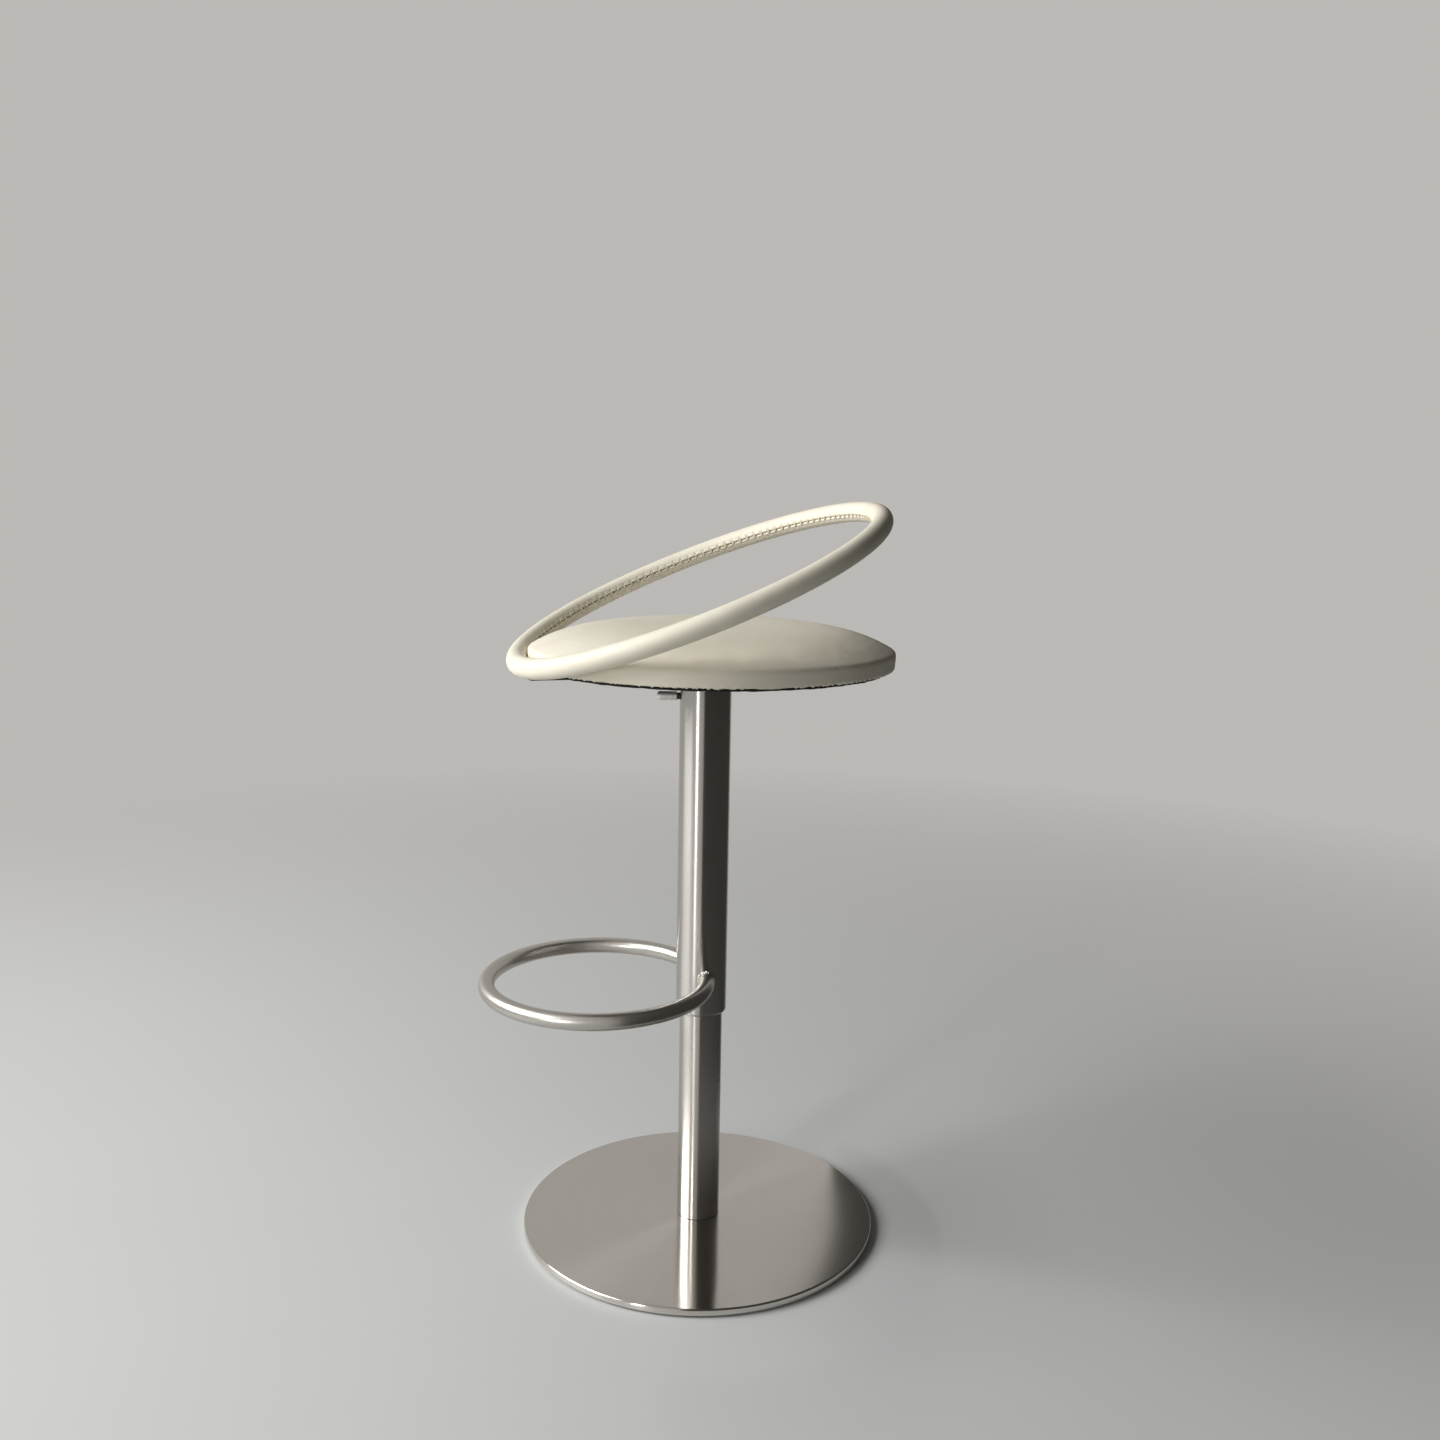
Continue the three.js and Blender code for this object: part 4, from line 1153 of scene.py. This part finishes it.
def rippleBead(piece, centre, count):
    chance = random.Random(weld["seed"])
    phase = chance.uniform(0, fullTurn)
    for vertex in piece.data.vertices:
        place = vertex.co - centre
        turn = math.atan2(place.z, place.y) if abs(centre.x) > 0.01 else math.atan2(place.y, place.x)
        wave = math.sin(count * turn + phase) + 0.4 * math.sin(3.7 * count * turn / 5)
        vertex.co += vertex.normal * weld["ripple"] * wave


def makeWelds():
    columnRadius = nodeBox("upper_tube")[1].x
    for side, name in ((1, "footrest_weld_left"), (-1, "footrest_weld_right")):
        points = []
        for i in range(weld["footrestSteps"]):
            roll = fullTurn * i / weld["footrestSteps"]
            reach = footrestRadius + footrestTube * math.cos(roll)
            back = -footrestCentre[1]
            cosine = (reach ** 2 + back ** 2 - columnRadius ** 2) / (2 * reach * back)
            turn = math.acos(cosine)
            points.append(Vector((side * reach * math.sin(turn), reach * math.cos(turn) - back,
                                  footrestCentre[2] + footrestTube * math.sin(roll))))
        bead = threadThrough(name, points, weld["bead"], 3, closed=True)
        centre = sum(points, Vector()) / len(points)
        rippleBead(bead, centre, round(fullTurn * footrestTube / weld["ripplePitch"]))
        finishPiece(bead, "seat_unit", "brushed_steel", materials["weld"])
    low, high, middle = nodeBox("upper_tube")
    bead = bentBar("plate_weld", high.x + 0.4 * mm, weld["bead"], weld["plateSteps"], weld["sides"])
    bead.location.z = high.z - 0.6 * mm
    applyPlace(bead)
    rippleBead(bead, Vector((0, 0, 0)), round(fullTurn * high.x / weld["ripplePitch"]))
    finishPiece(bead, "seat_unit", "black_steel", materials["blackCoat"])


# Plate under the seat, its bolts, and the screws of the ring's bracket

fasteners = {
    "plateCorner": 20 * mm,
    "plateEdge": 0.7 * mm,
    "hole": 4.3 * mm,
    "boltHead": 5.3 * mm,
    "boltShank": 4.0 * mm,
    "chamfer": 0.9 * mm,
    "screwHead": 2.6 * mm,
    "screwShank": 2.5 * mm,
    "recess": (5.2 * mm, 1.1 * mm, 1.5 * mm),
}


def makeSeatPlate():
    low, high, middle = nodeBox("seat_plate")
    size = high - low
    plate = addBox("swivel_plate", size, middle)
    bpy.ops.object.mode_set(mode="EDIT")
    bpy.ops.mesh.select_mode(type="EDGE")
    bpy.ops.mesh.select_all(action="DESELECT")
    bpy.ops.object.mode_set(mode="OBJECT")
    for edge in plate.data.edges:
        ends = [plate.data.vertices[i].co for i in edge.vertices]
        edge.select = abs(ends[0].z - ends[1].z) > size.z / 2
    bpy.ops.object.mode_set(mode="EDIT")
    bpy.ops.mesh.bevel(offset=fasteners["plateCorner"], segments=10)
    bpy.ops.mesh.select_mode(type="VERT")
    bpy.ops.object.mode_set(mode="OBJECT")
    bevelEdges(plate, fasteners["plateEdge"], 3)
    cutAway(plate, *[cutterAt(f"plate_bolt_{number}", fasteners["hole"], low.z, high.z, 32)
                     for number in range(1, 5)])
    finishPiece(plate, "seat_unit", "black_steel", materials["blackCoat"], "seat_plate")


def makePlateBolts():
    low, high, middle = nodeBox("plate_bolt_1")
    headTop = low.z + fasteners["boltHead"]
    corner = (high.y - low.y) / 2
    clearSelection()
    bpy.ops.mesh.primitive_cylinder_add(
        vertices=6, radius=corner, depth=fasteners["boltHead"], location=(0, 0, (low.z + headTop) / 2))
    bolt = bpy.context.object
    applyPlace(bolt)
    chamfer = fasteners["chamfer"]
    around = [
        (0, low.z), (corner - 1.9 * chamfer, low.z), (corner + 0.2 * mm, low.z + 1.2 * chamfer),
        (corner + 0.2 * mm, headTop - 0.5 * mm), (corner - 0.8 * mm, headTop), (0, headTop),
    ]
    combine(bolt, spinProfile("shape", around, 48), "INTERSECT")
    shank, tip = fasteners["boltShank"], 0.6 * mm
    stem = [
        (0, headTop - mm), (shank, headTop - mm), (shank, high.z - tip), (shank - tip, high.z), (0, high.z)]
    combine(bolt, spinProfile("stem", stem, 32), "UNION")
    copyToNodes(bolt, "seat_bolt", "plate_bolt")


def makeBracketScrews():
    low, high, middle = nodeBox("bracket_screw_1")
    radius = (high.x - low.x) / 2
    headTop = low.z + fasteners["screwHead"]
    shank = fasteners["screwShank"]
    profile = [
        (0, low.z), (radius * 0.45, low.z + 0.08 * mm), (radius * 0.75, low.z + 0.45 * mm),
        (radius * 0.93, low.z + 1.0 * mm), (radius, low.z + 1.7 * mm), (radius, headTop - 0.2 * mm),
        (radius - 0.2 * mm, headTop), (shank, headTop), (shank, high.z - 3 * mm),
        (0.4 * mm, high.z), (0, high.z),
    ]
    screw = spinProfile("screw", profile, 40)
    length, width, depth = fasteners["recess"]
    for turn in (0, math.pi / 2):
        slot = addBox("slot", (length, width, 2 * depth), (0, 0, low.z), turn)
        for vertex in slot.data.vertices:  # tapers towards the recess's floor
            if vertex.co.z > low.z:
                vertex.co.x *= 0.55
                vertex.co.y *= 0.55
        cutAway(screw, slot)
    copyToNodes(screw, "ring_screw", "bracket_screw")


# Release lever

lever = {
    "steps": 48,
    "grip": 5.3 * mm,
    "gripRound": 3.4 * mm,
    "gripStart": 3.5 * mm,  # from the column's wall
    "gripEnd": 26.5 * mm,
    "socket": 4.3 * mm,
    "groove": 0.5 * mm,
}


def makeLeverGrip():
    grip, rounding = lever["grip"], lever["gripRound"]
    columnRadius = nodeBox("upper_tube")[1].x
    back, front = columnRadius + lever["gripStart"], columnRadius + lever["gripEnd"]
    socket, sunk = lever["socket"], grip - lever["groove"]
    profile = [
        (socket, back + 0.3 * mm), (socket + 0.3 * mm, back), (grip - 0.5 * mm, back), (grip, back + 0.5 * mm),
        (grip, back + 3.2 * mm), (sunk, back + 3.6 * mm), (sunk, back + 4.2 * mm),
        (grip, back + 4.6 * mm), (grip, (back + front) / 2),
        *arcPoints(grip - rounding, front - rounding, rounding, 0, 84, 9),
        (0, front), (0, front - 4 * mm), (socket, front - 4 * mm),
    ]
    knob = spinProfile("lever_knob", profile, lever["steps"], closed=True)
    knob.rotation_euler = (math.pi / 2, 0, leverTurn())
    knob.location.z = nodeBox("lever_grip")[2].z
    applyPlace(knob)
    finishPiece(knob, "lever", "polished_steel", materials["knobSteel"], "lever_grip")


makeBase()
makeColumn()
makeFootrest()
print("base, column and footrest ready")
makeSeat()
print("seat cushion ready")
makeDustCover()
makeStaples()
makeRingSleeve()
makeRingLace()
print("dust cover and backrest ready")
makeWelds()
makeSeatPlate()
makePlateBolts()
makeBracketScrews()
makeLeverGrip()
print("welds, fasteners and lever ready")


# Camera at the photograph's place

view = {
    "focal": 35.0,
    "sensor": 36.0,
    "distance": 1.6,  # level distance from the column
    "sideways": 0.0168,
    "height": 0.8931,
    "turn": 16.91,  # degrees from the stool's side
    "pitch": 9.6,  # down
    "roll": 1.0,
}


def makeCamera():
    turn, pitch, roll = (math.radians(view[key]) for key in ("turn", "pitch", "roll"))
    right = Vector((math.sin(turn), math.cos(turn), 0))
    ahead = Vector((-math.cos(turn), math.sin(turn), 0))
    look = ahead * math.cos(pitch) - Vector((0, 0, math.sin(pitch)))
    up = right.cross(look)
    rolledRight = right * math.cos(roll) + up * math.sin(roll)
    rolledUp = up * math.cos(roll) - right * math.sin(roll)
    place = right * view["sideways"] - ahead * view["distance"] + Vector((0, 0, view["height"]))
    data = bpy.data.cameras.new("camera")
    data.lens = view["focal"]
    data.sensor_width = view["sensor"]
    camera = bpy.data.objects.new("camera", data)
    bpy.context.scene.collection.objects.link(camera)
    axes = Matrix((rolledRight, rolledUp, -look)).transposed()
    camera.matrix_world = Matrix.Translation(place) @ axes.to_4x4()
    bpy.context.scene.camera = camera


# Floor, lamps and world

studio = {
    "floorRadius": 7.0,
    "floorColour": (0.64, 0.65, 0.64),
    "floorFade": (0.4, 2.8),  # the floor runs out into the backdrop's colour
    "worldColour": (0.50, 0.485, 0.465),
    "ambient": 0.13,
    "window": {
        "turn": -82, "distance": 3.4, "height": 2.45, "width": 3.1, "tall": 2.3, "power": 205, "aim": 0.75},
    "door": {
        "turn": -34, "distance": 2.4, "height": 0.8, "width": 0.25, "tall": 1.0, "power": 12, "aim": 0.4},
    "flag": {
        "from": -6, "to": 140, "radius": 0.3, "low": 0.012, "high": 2.6, "glow": (0.05, 0.047, 0.044)},
}


# Turns are in degrees from the camera, towards the image's right
def studioAngle(turn):
    camera = bpy.context.scene.camera.location
    return math.atan2(camera.y, camera.x) + math.radians(turn)


def addLamp(name, turn, distance, height, width, tall, power, aim):
    towards = studioAngle(turn)
    data = bpy.data.lights.new(name, "AREA")
    data.shape = "RECTANGLE"
    data.size = width
    data.size_y = tall
    data.energy = power
    lamp = bpy.data.objects.new(name, data)
    bpy.context.scene.collection.objects.link(lamp)
    lamp.location = (math.cos(towards) * distance, math.sin(towards) * distance, height)
    lamp.rotation_euler = (Vector((0, 0, aim)) - lamp.location).to_track_quat("-Z", "Y").to_euler()


# A dark panel, seen only in the metal, stands for the unlit side of the room
def makeFlag():
    flag = studio["flag"]
    first, last = studioAngle(flag["from"]), studioAngle(flag["to"])
    start = (flag["radius"] * math.cos(first), flag["radius"] * math.sin(first), flag["low"])
    panel = drawLine("studio_flag", start, [(0, 0, flag["high"] - flag["low"])])
    bpy.ops.mesh.spin(steps=48, angle=first - last, center=(0, 0, 0), axis=(0, 0, 1))
    bpy.ops.object.mode_set(mode="OBJECT")
    material, tree, shader, place = startMaterial("studio flag")
    cloud = noiseNode(tree, place, 2.0, 2.0)
    brighter = [1.2 * value for value in flag["glow"]]
    mixColours(tree, cloud, flag["glow"], brighter, shader.inputs["Emission Color"])
    shader.inputs["Emission Strength"].default_value = 1.0
    shader.inputs["Base Color"].default_value = (0, 0, 0, 1)
    shader.inputs["Roughness"].default_value = 1.0
    shader.inputs["Specular IOR Level"].default_value = 0.0
    panel.data.materials.append(material)
    panel.visible_camera = False
    panel.visible_diffuse = False
    panel.visible_shadow = False
    panel.visible_transmission = False


def makeStudio():
    clearSelection()
    bpy.ops.mesh.primitive_circle_add(
        vertices=96, radius=studio["floorRadius"], fill_type="NGON", location=(0, 0, 0))
    floor = bpy.context.object
    floor.name = "studio_floor"
    material, tree, shader, place = startMaterial("studio floor")
    tone = noiseNode(tree, place, 3.0, 3.0)
    colour = studio["floorColour"]
    mixColours(tree, tone, [0.985 * value for value in colour], [1.015 * value for value in colour],
               shader.inputs["Base Color"])
    shader.inputs["Roughness"].default_value = 0.45
    parts = addNode(tree, "ShaderNodeVectorMath", operation="LENGTH")
    tree.links.new(place, parts.inputs[0])
    gone = remap(tree, parts.outputs["Value"], *studio["floorFade"])
    clear = addNode(tree, "ShaderNodeBsdfTransparent")
    mix = addNode(tree, "ShaderNodeMixShader")
    tree.links.new(gone, mix.inputs["Fac"])
    tree.links.new(shader.outputs[0], mix.inputs[1])
    tree.links.new(clear.outputs[0], mix.inputs[2])
    tree.links.new(mix.outputs[0], tree.nodes["Material Output"].inputs["Surface"])
    floor.data.materials.append(material)
    makeFlag()

    world = bpy.data.worlds.new("studio")
    bpy.context.scene.world = world
    world.use_nodes = True
    tree = world.node_tree
    background = tree.nodes["Background"]
    background.inputs["Color"].default_value = (*studio["worldColour"], 1)
    rays = addNode(tree, "ShaderNodeLightPath")
    seen = mathNode(tree, "MAXIMUM", rays.outputs["Is Camera Ray"], mathNode(
        tree, "MAXIMUM", rays.outputs["Is Glossy Ray"], rays.outputs["Is Transmission Ray"]))
    tree.links.new(remap(tree, seen, 0.0, 1.0, studio["ambient"], 1.0), background.inputs["Strength"])
    for name in ("window", "door"):
        addLamp(name, **studio[name])
    bpy.context.scene.view_settings.view_transform = "Standard"


makeCamera()
makeStudio()
print("camera and studio ready")
